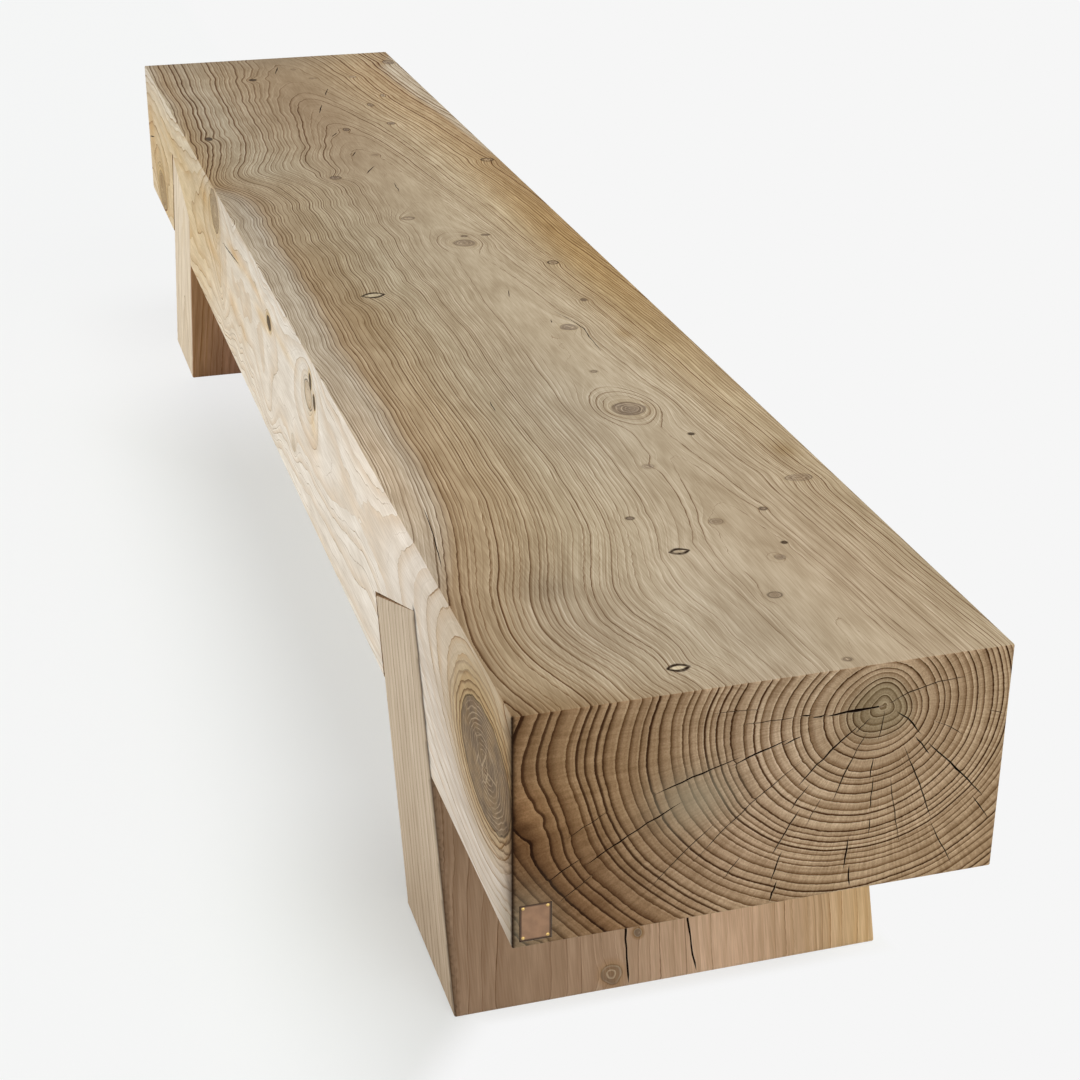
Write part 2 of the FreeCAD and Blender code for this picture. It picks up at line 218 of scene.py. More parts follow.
def seen_rays(tree):
    """One for rays from the camera or off something shiny, nothing for light that falls on things."""
    path = add(tree, "ShaderNodeLightPath").outputs
    shiny = maths(tree, "MAXIMUM", path["Is Glossy Ray"], path["Is Transmission Ray"])
    return maths(tree, "MAXIMUM", path["Is Camera Ray"], shiny)


def floor_glow(tree):
    """How much of the floor's look is glow, place by place."""
    spot = add(tree, "ShaderNodeTexCoord").outputs["Object"]
    along, across, _ = axes(tree, spot)
    ahead = maths(tree, "ADD", along, product(tree, across, AHEAD_SLANT))
    glow = BENCH_GLOW
    for where, edge, level in ((ahead, AHEAD_EDGE, FULL_GLOW), (across, RIGHT_EDGE, FULL_GLOW),
                               (along, BACK_EDGE, OPEN_GLOW), (across, LEFT_EDGE, OPEN_GLOW)):
        glow = maths(tree, "MAXIMUM", glow, step(tree, where, *edge, BENCH_GLOW, level))
    foot = add(tree, "ShaderNodeVectorMath", {0: spot, 1: FOOT_SHADE}, operation="DISTANCE")
    loss = step(tree, foot.outputs["Value"], 0.0, FOOT_REACH, FOOT_LOSS, 0.0)
    glow = maths(tree, "SUBTRACT", glow, loss)
    off_sole = maths(tree, "ABSOLUTE", maths(tree, "SUBTRACT", along, SOLE_FRONT))
    contact = maths(tree, "MAXIMUM", step(tree, off_sole, 0.0, SOLE_REACH, SOLE_GLOW, 1.0),
                    step(tree, across, *SOLE_END))
    return maths(tree, "MINIMUM", glow, contact)


def make_floor():
    bpy.ops.mesh.primitive_plane_add(size=FLOOR_REACH)
    floor = bpy.context.object
    floor.name = "floor"
    material, tree, surface = new_material("floor white")
    surface.inputs["Base Color"].default_value = FLOOR_COLOUR
    surface.inputs["Roughness"].default_value = FLOOR_ROUGHNESS
    surface.inputs["Specular IOR Level"].default_value = 0.0
    glow = add(tree, "ShaderNodeEmission", {"Color": BACKGROUND})
    seen = product(tree, seen_rays(tree), floor_glow(tree))
    show_both(tree, seen, surface.outputs[0], glow.outputs[0], "Material Output")
    floor.data.materials.append(material)


make_floor()
print("floor", FLOOR_REACH, "m, glow", BENCH_GLOW, "to", FULL_GLOW)

# %% [markdown]
# ## Light
# The light is soft. The main lamp hangs almost overhead, a little to the right, so the shadow is a
# soft band close along the left side. A second lamp in front lights the end of the log. A white
# board on the left keeps the long side bright: it is a lamp too, but one that throws no shadow. Sun
# lamps with a wide disc do that evenly over the whole floor. The room adds a little light from all
# sides; what the camera and shiny things see of it is a plain white wall.

# %% Lamps and room
ROOM_LIGHT = 0.27
ROOM_COLOUR = (1.0, 1.0, 1.0, 1.0)
# direction that the light comes from, level, width of its disc in degrees, and whether it shades
LAMPS = {"overhead": ((0.10, 0.20, 0.97), 0.40, 30, True), "front": ((0.80, 0.36, 0.48), 0.22, 40, True),
         "board": ((-0.10, -0.88, 0.46), 0.43, 60, False)}


def make_lamp(name, origin, level, disc, shades):
    lamp = bpy.data.lights.new(name, "SUN")
    lamp.energy = level * math.pi
    lamp.angle = math.radians(disc)
    lamp.use_shadow = shades
    sun = bpy.data.objects.new(name, lamp)
    sun.rotation_euler = Vector(origin).to_track_quat("Z", "Y").to_euler()
    bpy.context.scene.collection.objects.link(sun)


def make_room():
    world = bpy.data.worlds.new("room")
    world.use_nodes = True
    tree = world.node_tree
    light = tree.nodes["Background"]
    light.inputs["Color"].default_value = ROOM_COLOUR
    light.inputs["Strength"].default_value = ROOM_LIGHT
    wall = add(tree, "ShaderNodeBackground", {"Color": BACKGROUND})
    show_both(tree, seen_rays(tree), light.outputs[0], wall.outputs[0], "World Output")
    bpy.context.scene.world = world
    bpy.context.scene.view_settings.view_transform = "Standard"


for lamp_name, lamp_settings in LAMPS.items():
    make_lamp(lamp_name, *lamp_settings)
make_room()
print("room", ROOM_LIGHT, "lamps", list(LAMPS))

# %% [markdown]
# ## Faces as sheets
# A log could be a cube with a bevel, but wood wants three things from its mesh: enough points to
# carry the ring pattern, real grooves where it has split, and finer points round the knots. A
# Delaunay triangulation gives all three. Each flat face is a sheet in its own two directions:
# points along its edges, a staggered grid inside, and the points and edges of any feature that
# lies on it. Neighbouring sheets divide a shared edge in the same way, so they weld into one skin.

# %% Sheet tools
# rows of points beside an eased arris lie at this share of its radius and at the whole of it
EASE_ROW = 0.4
SLIVER, MERGE, ROW_SLIP = 0.005, 1e-4, 0.02
ROW_PITCH = 0.866
# in easing radii: edges shorter than this stay plain, and this room is left beside the close points
SHORT_EDGE, CLOSE_ROOM = 6, 1.5
# room that grid points leave: at an edge and at a hole in spacings, at an eased arris in its radii
EDGE_ROOM, HOLE_ROOM, ARRIS_ROOM = 0.45, 0.3, 1.3
FEATURE_ROOM = 0.3


def inside(points, corners):
    """Which points lie within a polygon."""
    x, y = points.T
    result = np.zeros(len(points), bool)
    for (x0, y0), (x1, y1) in zip(corners, np.roll(corners, -1, axis=0)):
        crosses = (y0 > y) != (y1 > y)
        reach = (x1 - x0) * (y - y0) / ((y1 - y0) or 1.0) + x0
        result ^= crosses & (x < reach)
    return result


def edge_distance(points, chain, closed=True):
    """Distance of each point from the nearest edge of a chain of points."""
    ends = np.roll(chain, -1, axis=0) if closed else chain[1:]
    nearest = np.full(len(points), np.inf)
    for start, end in zip(chain, ends):
        line = end - start
        share = np.clip((points - start) @ line / (line @ line), 0, 1)
        nearest = np.minimum(nearest, np.linalg.norm(points - start - share[:, None] * line, axis=1))
    return nearest


def divide(corners, steps, arris):
    """Points along the edges of a polygon, with a few close to each corner for the eased arris."""
    points = []
    for start, end in zip(corners, np.roll(corners, -1, axis=0)):
        length = np.linalg.norm(end - start)
        along = np.abs(end - start)
        count = max(1, round(length / steps[0 if along[0] > along[1] else 1]))
        marks = np.arange(count) * length / count
        if length > SHORT_EDGE * arris:
            close = np.array([EASE_ROW * arris, arris])
            middle = marks[(marks > CLOSE_ROOM * arris) & (marks < length - CLOSE_ROOM * arris)]
            marks = np.concatenate([[0.0], close, middle, length - close[::-1]])
        points.append(start + np.outer(marks / length, end - start))
    return np.concatenate(points)


def staggered(low, high, spacing):
    """A triangular grid of points over a rectangle."""
    rows = np.arange(low[1], high[1], spacing * ROW_PITCH)
    across = np.arange(low[0], high[0], spacing)
    return np.array([(u + 0.5 * spacing * (i % 2), v) for i, v in enumerate(rows) for u in across])


def inner_grid(corners, spacing, arris, holes):
    """Grid points of a sheet that leave room at its edges and its holes."""
    grid = staggered(corners.min(axis=0), corners.max(axis=0), spacing)
    grid = grid[inside(grid, corners)]
    grid = grid[edge_distance(grid, corners) > max(EDGE_ROOM * spacing, ARRIS_ROOM * arris)]
    for hole in holes:
        grid = grid[~inside(grid, hole)]
        grid = grid[edge_distance(grid, hole) > HOLE_ROOM * spacing]
    return grid


class Layout:
    """The points of a sheet, with edges between some of them and their depths below the face."""

    def __init__(self):
        self.points, self.edges, self.depths = [], [], []
        self.count = 0

    def take(self, points, edges=(), depths=0.0):
        self.points.append(points)
        self.edges.append(np.asarray(edges, int).reshape(-1, 2) + self.count)
        self.depths.append(np.zeros(len(points)) + depths)
        self.count += len(points)

    def triangulate(self):
        """Points, depths and triangles over all that was taken, the holes too."""
        flat, depth = np.concatenate(self.points), np.concatenate(self.depths)
        vectors = [Vector(point) for point in flat]
        edges = np.concatenate(self.edges).tolist()
        made, _, faces, origins, _, _ = delaunay_2d_cdt(vectors, edges, [], 1, MERGE, True)
        made = np.array([flat[ids[0]] if ids else tuple(point) for point, ids in zip(made, origins)])
        sunk = np.array([max((depth[i] for i in ids), default=0.0) for ids in origins])
        return made, sunk, np.array([list(face) for face in faces])


def lay_sheet(corners, steps, spacing, arris, features=(), holes=()):
    """Triangulates one flat face. Gives its points, their depth below the face, and the triangles."""
    corners = np.asarray(corners, float)
    rim = divide(corners, steps, arris)
    layout = Layout()
    for chain in (rim, *holes):
        ring = np.arange(len(chain))
        layout.take(chain, np.stack([ring, np.roll(ring, -1)], 1))
    for inset in (EASE_ROW * arris, arris):
        row = rim + np.clip(corners.mean(axis=0) - rim, -inset, inset)
        on_row = np.abs(edge_distance(row, corners) - inset) < ROW_SLIP
        layout.take(row[inside(row, corners) & on_row])
    grid = inner_grid(corners, spacing, arris, holes)
    for feature in features:
        grid = grid[feature["keep"](grid)]
        spots, sunk = feature["points"], feature["depths"]
        if not len(feature["edges"]):
            room = edge_distance(spots, corners)
            clear = inside(spots, corners) & (room > ARRIS_ROOM * arris + FEATURE_ROOM)
            spots, sunk = spots[clear], sunk[clear]
        layout.take(spots, feature["edges"], sunk)
    layout.take(grid)
    made, sunk, faces = layout.triangulate()
    a, b, c = made[faces].transpose(1, 0, 2)
    area = 0.5 * ((b - a)[:, 0] * (c - a)[:, 1] - (b - a)[:, 1] * (c - a)[:, 0])
    middles = (a + b + c) / 3
    keep = inside(middles, corners) & (np.abs(area) > SLIVER)
    for hole in holes:
        keep &= ~inside(middles, hole)
    return made, sunk, faces[keep]


print("sheet tools ready")

# %% [markdown]
# ## Features on a face
# A drying log splits along its rays. Each split is a spindle: two rims that part in the middle
# and meet at the tips, with a line between them that sinks into the wood. It is modelled for
# real, because a painted crack has no dark inside when the light moves. A knot only asks for
# closer points, so that its rim is round.

# %% Splits and knots as features
SPLIT_STATION, FEWEST_STATIONS = 9.0, 5
# power of the spindle's outline, sway of its middle in mm, how ragged its width is, room beside it
SPINDLE, SPLIT_SWAY, RAGGED, SPLIT_ROOM = 0.65, 0.35, (0.75, 1.25), 0.9
RIM_DEPTH = 0.05
# rings of points round a knot in its half sizes, and room outside the last
KNOT_SIZES, KNOT_ROOM = (0.25, 0.5, 0.72, 0.86, 0.96, 1.06, 1.2, 1.45, 1.9), 0.12
# points in each ring: for each mm of the half sizes, and the fewest and the most
KNOT_DENSITY, KNOT_FEWEST, KNOT_MOST = 1.6, 14, 44


def split(path, width, depth, seed, blunt=False):
    """A spindle-shaped groove along a path of points; a blunt one starts at full width."""
    path = np.asarray(path, float)
    rng = np.random.default_rng(seed)
    lengths = np.concatenate([[0.0], np.cumsum(np.linalg.norm(np.diff(path, axis=0), axis=1))])
    count = max(FEWEST_STATIONS, round(lengths[-1] / SPLIT_STATION))
    share = np.linspace(0, 1, count + 1)
    middle = np.stack([np.interp(share * lengths[-1], lengths, path[:, i]) for i in (0, 1)], 1)
    run = np.gradient(middle, axis=0)
    side = np.stack([-run[:, 1], run[:, 0]], 1) / np.linalg.norm(run, axis=1)[:, None]
    fullness = np.sin(np.pi * (0.5 + 0.5 * share if blunt else share)) ** SPINDLE
    middle = middle + side * (rng.normal(size=count + 1) * SPLIT_SWAY * fullness)[:, None]
    half = 0.5 * width * fullness * rng.uniform(*RAGGED, count + 1)
    body = slice(1, count)
    rims = [(middle + side * half[:, None])[body], (middle - side * half[:, None])[body]]
    points = np.concatenate([middle, *rims])
    depths = np.concatenate([depth * fullness, np.full(2 * (count - 1), RIM_DEPTH)])
    depths[[0, count]] = RIM_DEPTH
    lines = [np.arange(count + 1)]
    for number in range(2):
        first = count + 1 + number * (count - 1)
        lines.append(np.concatenate([[0], np.arange(first, first + count - 1), [count]]))
    edges = np.concatenate([np.stack([line[:-1], line[1:]], 1) for line in lines])

    def keep(grid):
        return edge_distance(grid, middle, closed=False) > 0.5 * width + SPLIT_ROOM
    return {"points": points, "edges": edges, "depths": depths, "keep": keep}


def knot_points(centre, half_u, half_v):
    """Rings of points round a knot, close together at its rim."""
    centre = np.asarray(centre, float)
    count = int(np.clip(KNOT_DENSITY * (half_u + half_v), KNOT_FEWEST, KNOT_MOST))
    turns = np.arange(count) * 2 * np.pi / count
    rings = [centre]
    for number, size in enumerate(KNOT_SIZES):
        angle = turns + 0.5 * (number % 2) * turns[1]
        rings.append(centre + size * np.stack([half_u * np.cos(angle), half_v * np.sin(angle)], 1))
    points = np.vstack(rings)

    def keep(grid):
        away = (grid - centre) / (half_u, half_v)
        return np.linalg.norm(away, axis=1) > KNOT_SIZES[-1] + KNOT_ROOM
    return {"points": points, "edges": [], "depths": np.zeros(len(points)), "keep": keep}


def clear_of(spot, lines):
    """A knot's points, without those that a split runs through."""
    free = np.ones(len(spot["points"]), bool)
    for line in lines:
        free &= line["keep"](spot["points"])
    return {**spot, "points": spot["points"][free], "depths": spot["depths"][free]}


def face_features(knots, splits=(), seed=0):
    spots = [knot_points(row[:2], row[2], row[3]) for row in knots]
    lines = [split(path, width, depth, seed + i) for i, (path, width, depth) in enumerate(splits)]
    return [clear_of(spot, lines) for spot in spots] + lines


def circle(centre, diameter, sides):
    turn = 2 * np.pi * np.arange(sides) / sides
    return np.asarray(centre) + 0.5 * diameter * np.stack([np.cos(turn), np.sin(turn)], 1)


print("features ready")

# %% [markdown]
# ## The tree
# Wood figure looks complicated, but it has one cause. A tree adds a shell of wood each year, so a
# ring is a surface of equal age, and every line on a board is the edge of such a surface. So the
# script works out one number for each point of the log: its distance from the heart of the tree,
# calmed for the way this tree grew. Circles on the end, long lines on the sides and pointed arches
# on the top then come by themselves, and the years meet at the corners as they do on the real log.
# Three things bend the rings: slow wander, limbs that drag the shells outwards round a knot, and
# swellings. They are all smooth sums, so NumPy works them out for all points at once.

# %% Growing rings
WAVES, WAVE_SPREAD = 14, (0.7, 1.6)
# how much a limb leans forwards, is tighter in front, falls off sideways and grows from its root
LIMB_LEAN, LIMB_SKEW, LIMB_FALL, LIMB_ROOT = 0.6, 0.2, 1.7, 1.5
YEARS = 90
# where the rings widen, in mm from the heart, and the least and most a year may differ, as powers of e
WIDENING, YEAR_LIMITS = (90, 180), (-0.55, 0.5)


def ripple(points, wavelengths, seed):
    """Smooth seeded waviness of about -1 to 1, with its own wavelength along each axis."""
    rng = np.random.default_rng(seed)
    total = np.zeros(len(points))
    for _ in range(WAVES):
        direction = rng.normal(size=3)
        direction /= np.linalg.norm(direction)
        wave = direction * 2 * np.pi / (np.asarray(wavelengths) * rng.uniform(*WAVE_SPREAD))
        total += np.sin(points @ wave + rng.uniform(0, 2 * np.pi))
    return total / np.sqrt(WAVES)


def soft(low, high, value):
    """The soft step of the shaders, for arrays."""
    share = np.clip((value - low) / (high - low), 0, 1)
    return share * share * (3 - 2 * share)


def bump(points, centre, reach):
    """A smooth hill, 1 at its centre, that falls off over a reach along each axis."""
    return np.exp(-0.5 * (((points - np.asarray(centre)) / np.asarray(reach)) ** 2).sum(axis=1))


def hills(points, rows):
    """The sum of smooth hills, each given by its centre, its reach and its height."""
    return sum(height * bump(points, centre, reach) for centre, reach, height in rows)


def limb_drag(points, heart, tip, lift, reach):
    """How far a limb that leaves the log at tip drags the rings out with it."""
    tip = np.asarray(tip, float)
    outwards = np.linalg.norm(tip[1:] - heart(tip[0]))
    root_along = tip[0] - LIMB_LEAN * outwards
    root = np.array([root_along, *heart(root_along)])
    limb = tip - root
    share = (points - root) @ limb / (limb @ limb)
    away = points - root - share[:, None] * limb
    distance = np.linalg.norm(away, axis=1)
    ahead = away[:, 0] / np.maximum(distance, 1e-6)
    spread = reach * (1 - LIMB_SKEW * ahead)
    return lift * np.exp(-(distance / spread) ** LIMB_FALL) * np.clip(LIMB_ROOT * share, 0, 1)


def ring_edges(inner, outer, spread, seed):
    """Distances from the heart at which the years end: narrow first, wider later."""
    rng = np.random.default_rng(seed)
    edges = [0.0]
    for _ in range(YEARS):
        width = inner + (outer - inner) * soft(*WIDENING, edges[-1])
        edges.append(edges[-1] + width * math.exp(np.clip(spread * rng.normal(), *YEAR_LIMITS)))
    return np.array(edges)


def count_rings(radius, edges):
    """Which year a point grew in, as a number that runs smoothly through each ring."""
    years = np.interp(radius, edges, np.arange(len(edges)))
    return np.where(radius < 0, radius / edges[1], years)


print("ring tools ready")

# %% [markdown]
# ## This log
# The heart runs askew: near the top at the near end, deeper and further left at the far end. That
# is why the top shows pointed arches that open towards the near end. The rings grew widest
# towards the lower left. Outside a certain age the wood is pale sapwood: it shows on the whole
# left side and as a strip along the left edge of the top. Knots are listed by face, with their half
# sizes, how far the limb drags the rings, and how dark the rim and the core are.

# %% The log's heart, limbs and knots
SEAT = beam_high[2]
UNDERSIDE = beam_low[2]
HALF_LENGTH = beam_high[0]
HALF_WIDTH = beam_high[1]
SAP_RADIUS = 240.0
LOG_RINGS = ring_edges(inner=6.1, outer=7.6, spread=0.40, seed=7)

# the heart at the middle: place across, depth below the seat, slopes along, and its dip at the far end
HEART_ACROSS, HEART_BELOW, HEART_SKEW, HEART_RISE = 56.0, 80.0, 0.0390, 0.0325
HEART_DIP, DIP_SPAN = 24.0, (-450, -1200)
# how much wider the rings are on the lower left, and how much closer on the right of the far end
LOWER_LEFT_WIDER, FAR_RIGHT_CLOSER, FAR_SPAN = 0.125, 0.10, (-300, -900)

# place along, place across, half length, half width, lift, reach, rim, core
TOP_KNOTS = [
    (604, 80, 19, 18, 26, 34, 0.20, 0.70), (337, 95, 10, 10, 8, 24, 0.40, 0.75),
    (-19, 60, 15, 14, 18, 26, 0.30, 0.60), (160, -102, 9, 14, 6, 26, 1.00, 0.15),
    (952, 10, 5, 9, 3, 16, 1.00, 0.35), (1160, -66, 5, 9, 4, 18, 1.00, 0.05),
    (825, 182, 8, 14, 5, 22, 0.35, 0.50),
    (989, 94, 5, 5, 5, 12, 0.40, 0.60), (900, 66, 6, 6, 4, 14, 0.20, 0.50),
    (1059, 61, 5, 6, 4, 12, 0.50, 0.40), (871, -10, 3.5, 4, 2, 10, 0.60, 0.90),
    (689, 119, 3, 3, 2, 9, 0.60, 0.95), (885, 120, 4, 4, 2, 10, 0.60, 0.90),
    (961, 110, 3, 3, 2, 9, 0.60, 0.95), (758, 47, 5, 6, 3, 12, 0.20, 0.50),
    (1185, 73, 3.5, 4, 2, 9, 0.30, 0.50), (94, 149, 7, 7, 4, 14, 0.75, 0.60),
    (247, 142, 5, 4, 3, 12, 0.50, 0.75),
    (487, 78, 4, 4, 3, 10, 0.40, 0.60), (-47, 97, 4, 5, 3, 10, 0.60, 0.90),
    (-49, 68, 4, 4, 3, 10, 0.60, 0.85), (-150, 15, 8, 9, 8, 20, 0.35, 0.60),
    (-379, -40, 9, 8, 8, 20, 0.40, 0.80), (-418, 200, 9, 9, 6, 20, 0.80, 0.45),
    (-490, 43, 6, 5, 3, 12, 0.20, 0.50), (-1037, -53, 9, 7, 6, 20, 0.50, 0.95),
    (-675, 110, 8, 6, 5, 16, 0.40, 0.85), (-807, 105, 11, 5, 3, 14, 0.40, 0.80),
    (-865, 140, 9, 4, 3, 12, 0.30, 0.80), (-655, 33, 9, 5, 3, 14, 0.60, 0.90),
    (-653, -185, 9, 5, 5, 16, 0.50, 0.95), (-1015, 120, 8, 6, 3, 14, 0.20, 0.60),
    (-1022, 50, 6, 6, 3, 14, 0.20, 0.60), (-1100, 30, 7, 5, 3, 12, 0.20, 0.60),
    (-1112, 204, 16, 9, 6, 26, 0.50, 0.85),
]
LEFT_KNOTS = [
    (1119, 356, 79, 51, 46, 78, 0.75, 0.80), (341, 396, 24, 17, 20, 40, 0.60, 0.12),
    (357, 418, 8, 11, 4, 20, 0.00, 1.00), (377, 400, 7, 9, 4, 20, 0.00, 1.00),
    (76, 394, 15, 10, 6, 30, 0.20, 1.00), (-378, 412, 38, 30, 32, 60, 0.25, 0.50),
    (-1043, 262, 52, 33, 20, 50, 0.25, 0.55), (219, 289, 14, 12, 6, 24, 0.10, 0.15),
]
RIGHT_KNOTS = [
    (820, 330, 26, 20, 16, 40, 0.45, 0.75), (140, 290, 18, 15, 10, 30, 0.80, 0.40),
    (-520, 350, 30, 24, 18, 44, 0.40, 0.70), (-905, 285, 9, 8, 4, 18, 0.60, 0.90),
]
UNDER_KNOTS = [
    (420, -60, 24, 22, 16, 40, 0.45, 0.70), (-260, 70, 28, 24, 18, 44, 0.40, 0.75),
    (1080, 40, 14, 12, 8, 26, 0.70, 0.60), (-1060, -90, 12, 12, 8, 26, 0.60, 0.80),
]
SWIRLS = [((-360, -HALF_WIDTH, 296), 15, 50), ((30, -HALF_WIDTH, 272), 14, 60)]
# centre, reach along each axis, push: less than nothing spreads the rings outwards
SWELLINGS = [
    ((1100, -230, 385), (170, 150, 130), -40), ((HALF_LENGTH, -196, 347), (60, 32, 27), 12),
    ((HALF_LENGTH, -150, 330), (60, 60, 60), 5), ((-440, -170, SEAT), (80, 75, 70), -20),
    ((-330, -110, SEAT), (60, 60, 60), 8),
]


def log_heart(along):
    """Where the heart runs, across and up, at a place along the log."""
    up = SEAT - HEART_BELOW + HEART_RISE * along - HEART_DIP * soft(*DIP_SPAN, along)
    return HEART_ACROSS + HEART_SKEW * along, up


def log_fullness(angle, along):
    """How wide the rings are in this direction, against those on the upper right."""
    lower_left = 0.5 - 0.5 * np.cos(angle - math.pi / 4)
    right = 0.5 + 0.5 * np.cos(angle)
    wider = LOWER_LEFT_WIDER * (1 + along / HALF_LENGTH) * lower_left
    return 1.0 + wider - FAR_RIGHT_CLOSER * soft(*FAR_SPAN, along) * right ** 2


def on_faces():
    """All knots of the log as one list: place, half sizes, lift, reach, rim, core."""
    faces = (
        (TOP_KNOTS, lambda a, b: (a, b, SEAT)), (LEFT_KNOTS, lambda a, b: (a, -HALF_WIDTH, b)),
        (RIGHT_KNOTS, lambda a, b: (a, HALF_WIDTH, b)), (UNDER_KNOTS, lambda a, b: (a, b, UNDERSIDE)),
    )
    return [(spot(row[0], row[1]), *row[2:]) for knots, spot in faces for row in knots]


LOG_KNOTS = on_faces()
print(len(LOG_KNOTS), "knots,", len(LOG_RINGS) - 1, "rings to", round(LOG_RINGS[-1]), "mm")

# %% [markdown]
# ## From points to years
# The radius of a point is bent by everything above, and then read against the list of years.
# Besides the year, each point gets its age against the sapwood's edge, and the size, rim and core
# of the nearest knot, in units of that knot's own radius. Shader nodes could do such sums, but not
# for dozens of limbs, so NumPy does them once and the mesh keeps the answers.

# %% Years and knots at a set of points
# a knot with a rim above this is drawn as a lens; no knot near is this many radii away
LENS_RIM, FAR_OFF = 0.9, 9.0
WIDEST_PITCH = 60.0
# lobes of the heart: how many, how deep, and how far out they are felt
LOBES, LOBE_DEPTH, LOBE_REACH = 3, 0.14, 30
# near the heart rings wander less: distance at which they wander in full, least and most share
FULL_WANDER, WANDER_SHARES = 140, (0.1, 1.2)
# how far the rings wander in mm, the wavelengths along, across and up, and the seed
LOG_WANDER = [(3.0, (520, 260, 260), 11), (0.8, (160, 90, 90), 12)]
LOG_TREMOR = [(0.12, (26, 60, 60), 14), (0.25, (90, 34, 34), 15)]
# the same for curly grain: a part that is everywhere, and a part on the left, from the middle back
CURL_ALL, CURL_LEFT, CURL_WAVES, CURL_SEED = 0.25, 1.1, (62, 170, 170), 13
# where that part begins along and across, what it loses towards the far end, and its least share
CURL_ALONG, CURL_ACROSS, CURL_LOSS, CURL_FADE = (500, -100), (40, -60), 0.55, (-450, -800)
CURL_LEAST = 0.5
# a burl at the edge of the near end: centre and reach, then height, wavelengths and seed
BURL_PLACE = ((HALF_LENGTH, -203, 342), (40, 13, 17))
BURL_HEIGHT, BURL_WAVES, BURL_SEED = 2.6, (40, 26, 20), 21
# centre, reach and amount of patches whose wood looks older or younger
AGE_HILLS = [
    ((HALF_LENGTH, -HALF_WIDTH, SEAT), (130, 90, 70), -0.14), ((820, -205, SEAT), (170, 40, 60), 0.02),
    ((-660, 226, SEAT), (240, 15, 60), 0.18), ((-1225, 215, SEAT), (70, 60, 60), -0.30),
]
# the left of the far half looks younger: by how much, and where that begins along and across
YOUNGER, YOUNG_ALONG, YOUNG_ACROSS = 0.13, (-350, -560), (-60, -200)


def knot_map(points, knots):
    """Distance from the nearest knot in that knot's radii, with its rim, its core and its radius."""
    nearest = np.tile([FAR_OFF, 0.0, 0.0, 10.0], (len(points), 1))
    for spot, half_along, half_across, _, _, rim, core in knots:
        off = points - np.asarray(spot, float)
        along, across = np.abs(off[:, 0]) / half_along, np.hypot(off[:, 1], off[:, 2]) / half_across
        size = along + across ** 2 if rim > LENS_RIM else np.hypot(along, across)
        closer = size < nearest[:, 0]
        radius = 0.5 * (half_along + half_across)
        nearest[closer] = np.stack([size, *(np.full_like(size, v) for v in (rim, core, radius))], 1)[closer]
    return nearest


def log_years(points):
    """The year that each point of the log grew in, and its age against the sapwood's edge."""
    along, across, up = points.T
    heart_across, heart_up = log_heart(along)
    angle = np.arctan2(up - heart_up, across - heart_across)
    distance = np.hypot(up - heart_up, across - heart_across)
    lobes = LOBE_DEPTH * np.cos(LOBES * (angle - math.pi / 2)) * np.exp(-(distance / LOBE_REACH) ** 2)
    radius = distance * (1 - lobes) / log_fullness(angle, along)
    calm = np.clip(radius / FULL_WANDER, *WANDER_SHARES)
    curly = soft(*CURL_ALONG, along) * soft(*CURL_ACROSS, across)
    curly *= 1 - CURL_LOSS * soft(*CURL_FADE, along)
    for amount, wavelengths, seed in LOG_WANDER:
        radius += amount * calm * ripple(points, wavelengths, seed)
    curl = (CURL_ALL + CURL_LEFT * curly) * np.clip(calm, CURL_LEAST, 1)
    radius += curl * ripple(points, CURL_WAVES, CURL_SEED)
    for amount, wavelengths, seed in LOG_TREMOR:
        radius += amount * ripple(points, wavelengths, seed)
    radius += hills(points, SWELLINGS)
    radius += BURL_HEIGHT * bump(points, *BURL_PLACE) * ripple(points, BURL_WAVES, BURL_SEED)
    limbs = [(spot, lift, reach) for spot, _, _, lift, reach, _, _ in LOG_KNOTS]
    for spot, lift, reach in limbs + SWIRLS:
        radius -= limb_drag(points, log_heart, spot, lift, reach)
    age = radius / SAP_RADIUS + hills(points, AGE_HILLS)
    age -= YOUNGER * soft(*YOUNG_ALONG, along) * soft(*YOUNG_ACROSS, across)
    return count_rings(radius, LOG_RINGS), age


def ring_pitch(points, faces, years_at):
    """Width of one ring as it shows on the surface at each point, in mm."""
    normals = np.zeros_like(points)
    a, b, c = points[faces].transpose(1, 0, 2)
    for corner in range(3):
        np.add.at(normals, faces[:, corner], np.cross(b - a, c - a))
    normals /= np.maximum(np.linalg.norm(normals, axis=1), 1e-9)[:, None]
    here = years_at(points)
    slope = np.stack([(years_at(points + offset) - here) for offset in np.eye(3)], 1)
    slope -= (slope * normals).sum(axis=1)[:, None] * normals
    return 1 / np.clip(np.linalg.norm(slope, axis=1), 1 / WIDEST_PITCH, 1.0)


sample = np.array([[HALF_LENGTH, -HALF_WIDTH, SEAT], [0.0, 0.0, SEAT], [0.0, -HALF_WIDTH, 300.0]])
print("years at three places:", log_years(sample)[0].round(1))

# %% [markdown]
# ## Joining sheets into one skin
# Each sheet is laid in space by an origin and two directions whose cross product points out of
# the wood. `Skin` collects sheets, welds the points they share and keeps a place for each sheet
# on a picture, so that colours can be baked later. Faces hidden in the slots share one place.
# Blender can merge points by distance too; with arrays the bake map comes along by itself.

# %% Skin
WELD = 0.002
# where a bore's rim and floor lie on its window of the bake picture, as shares of it
RIM_CIRCLE, FLOOR_CIRCLE = 0.45, 0.3


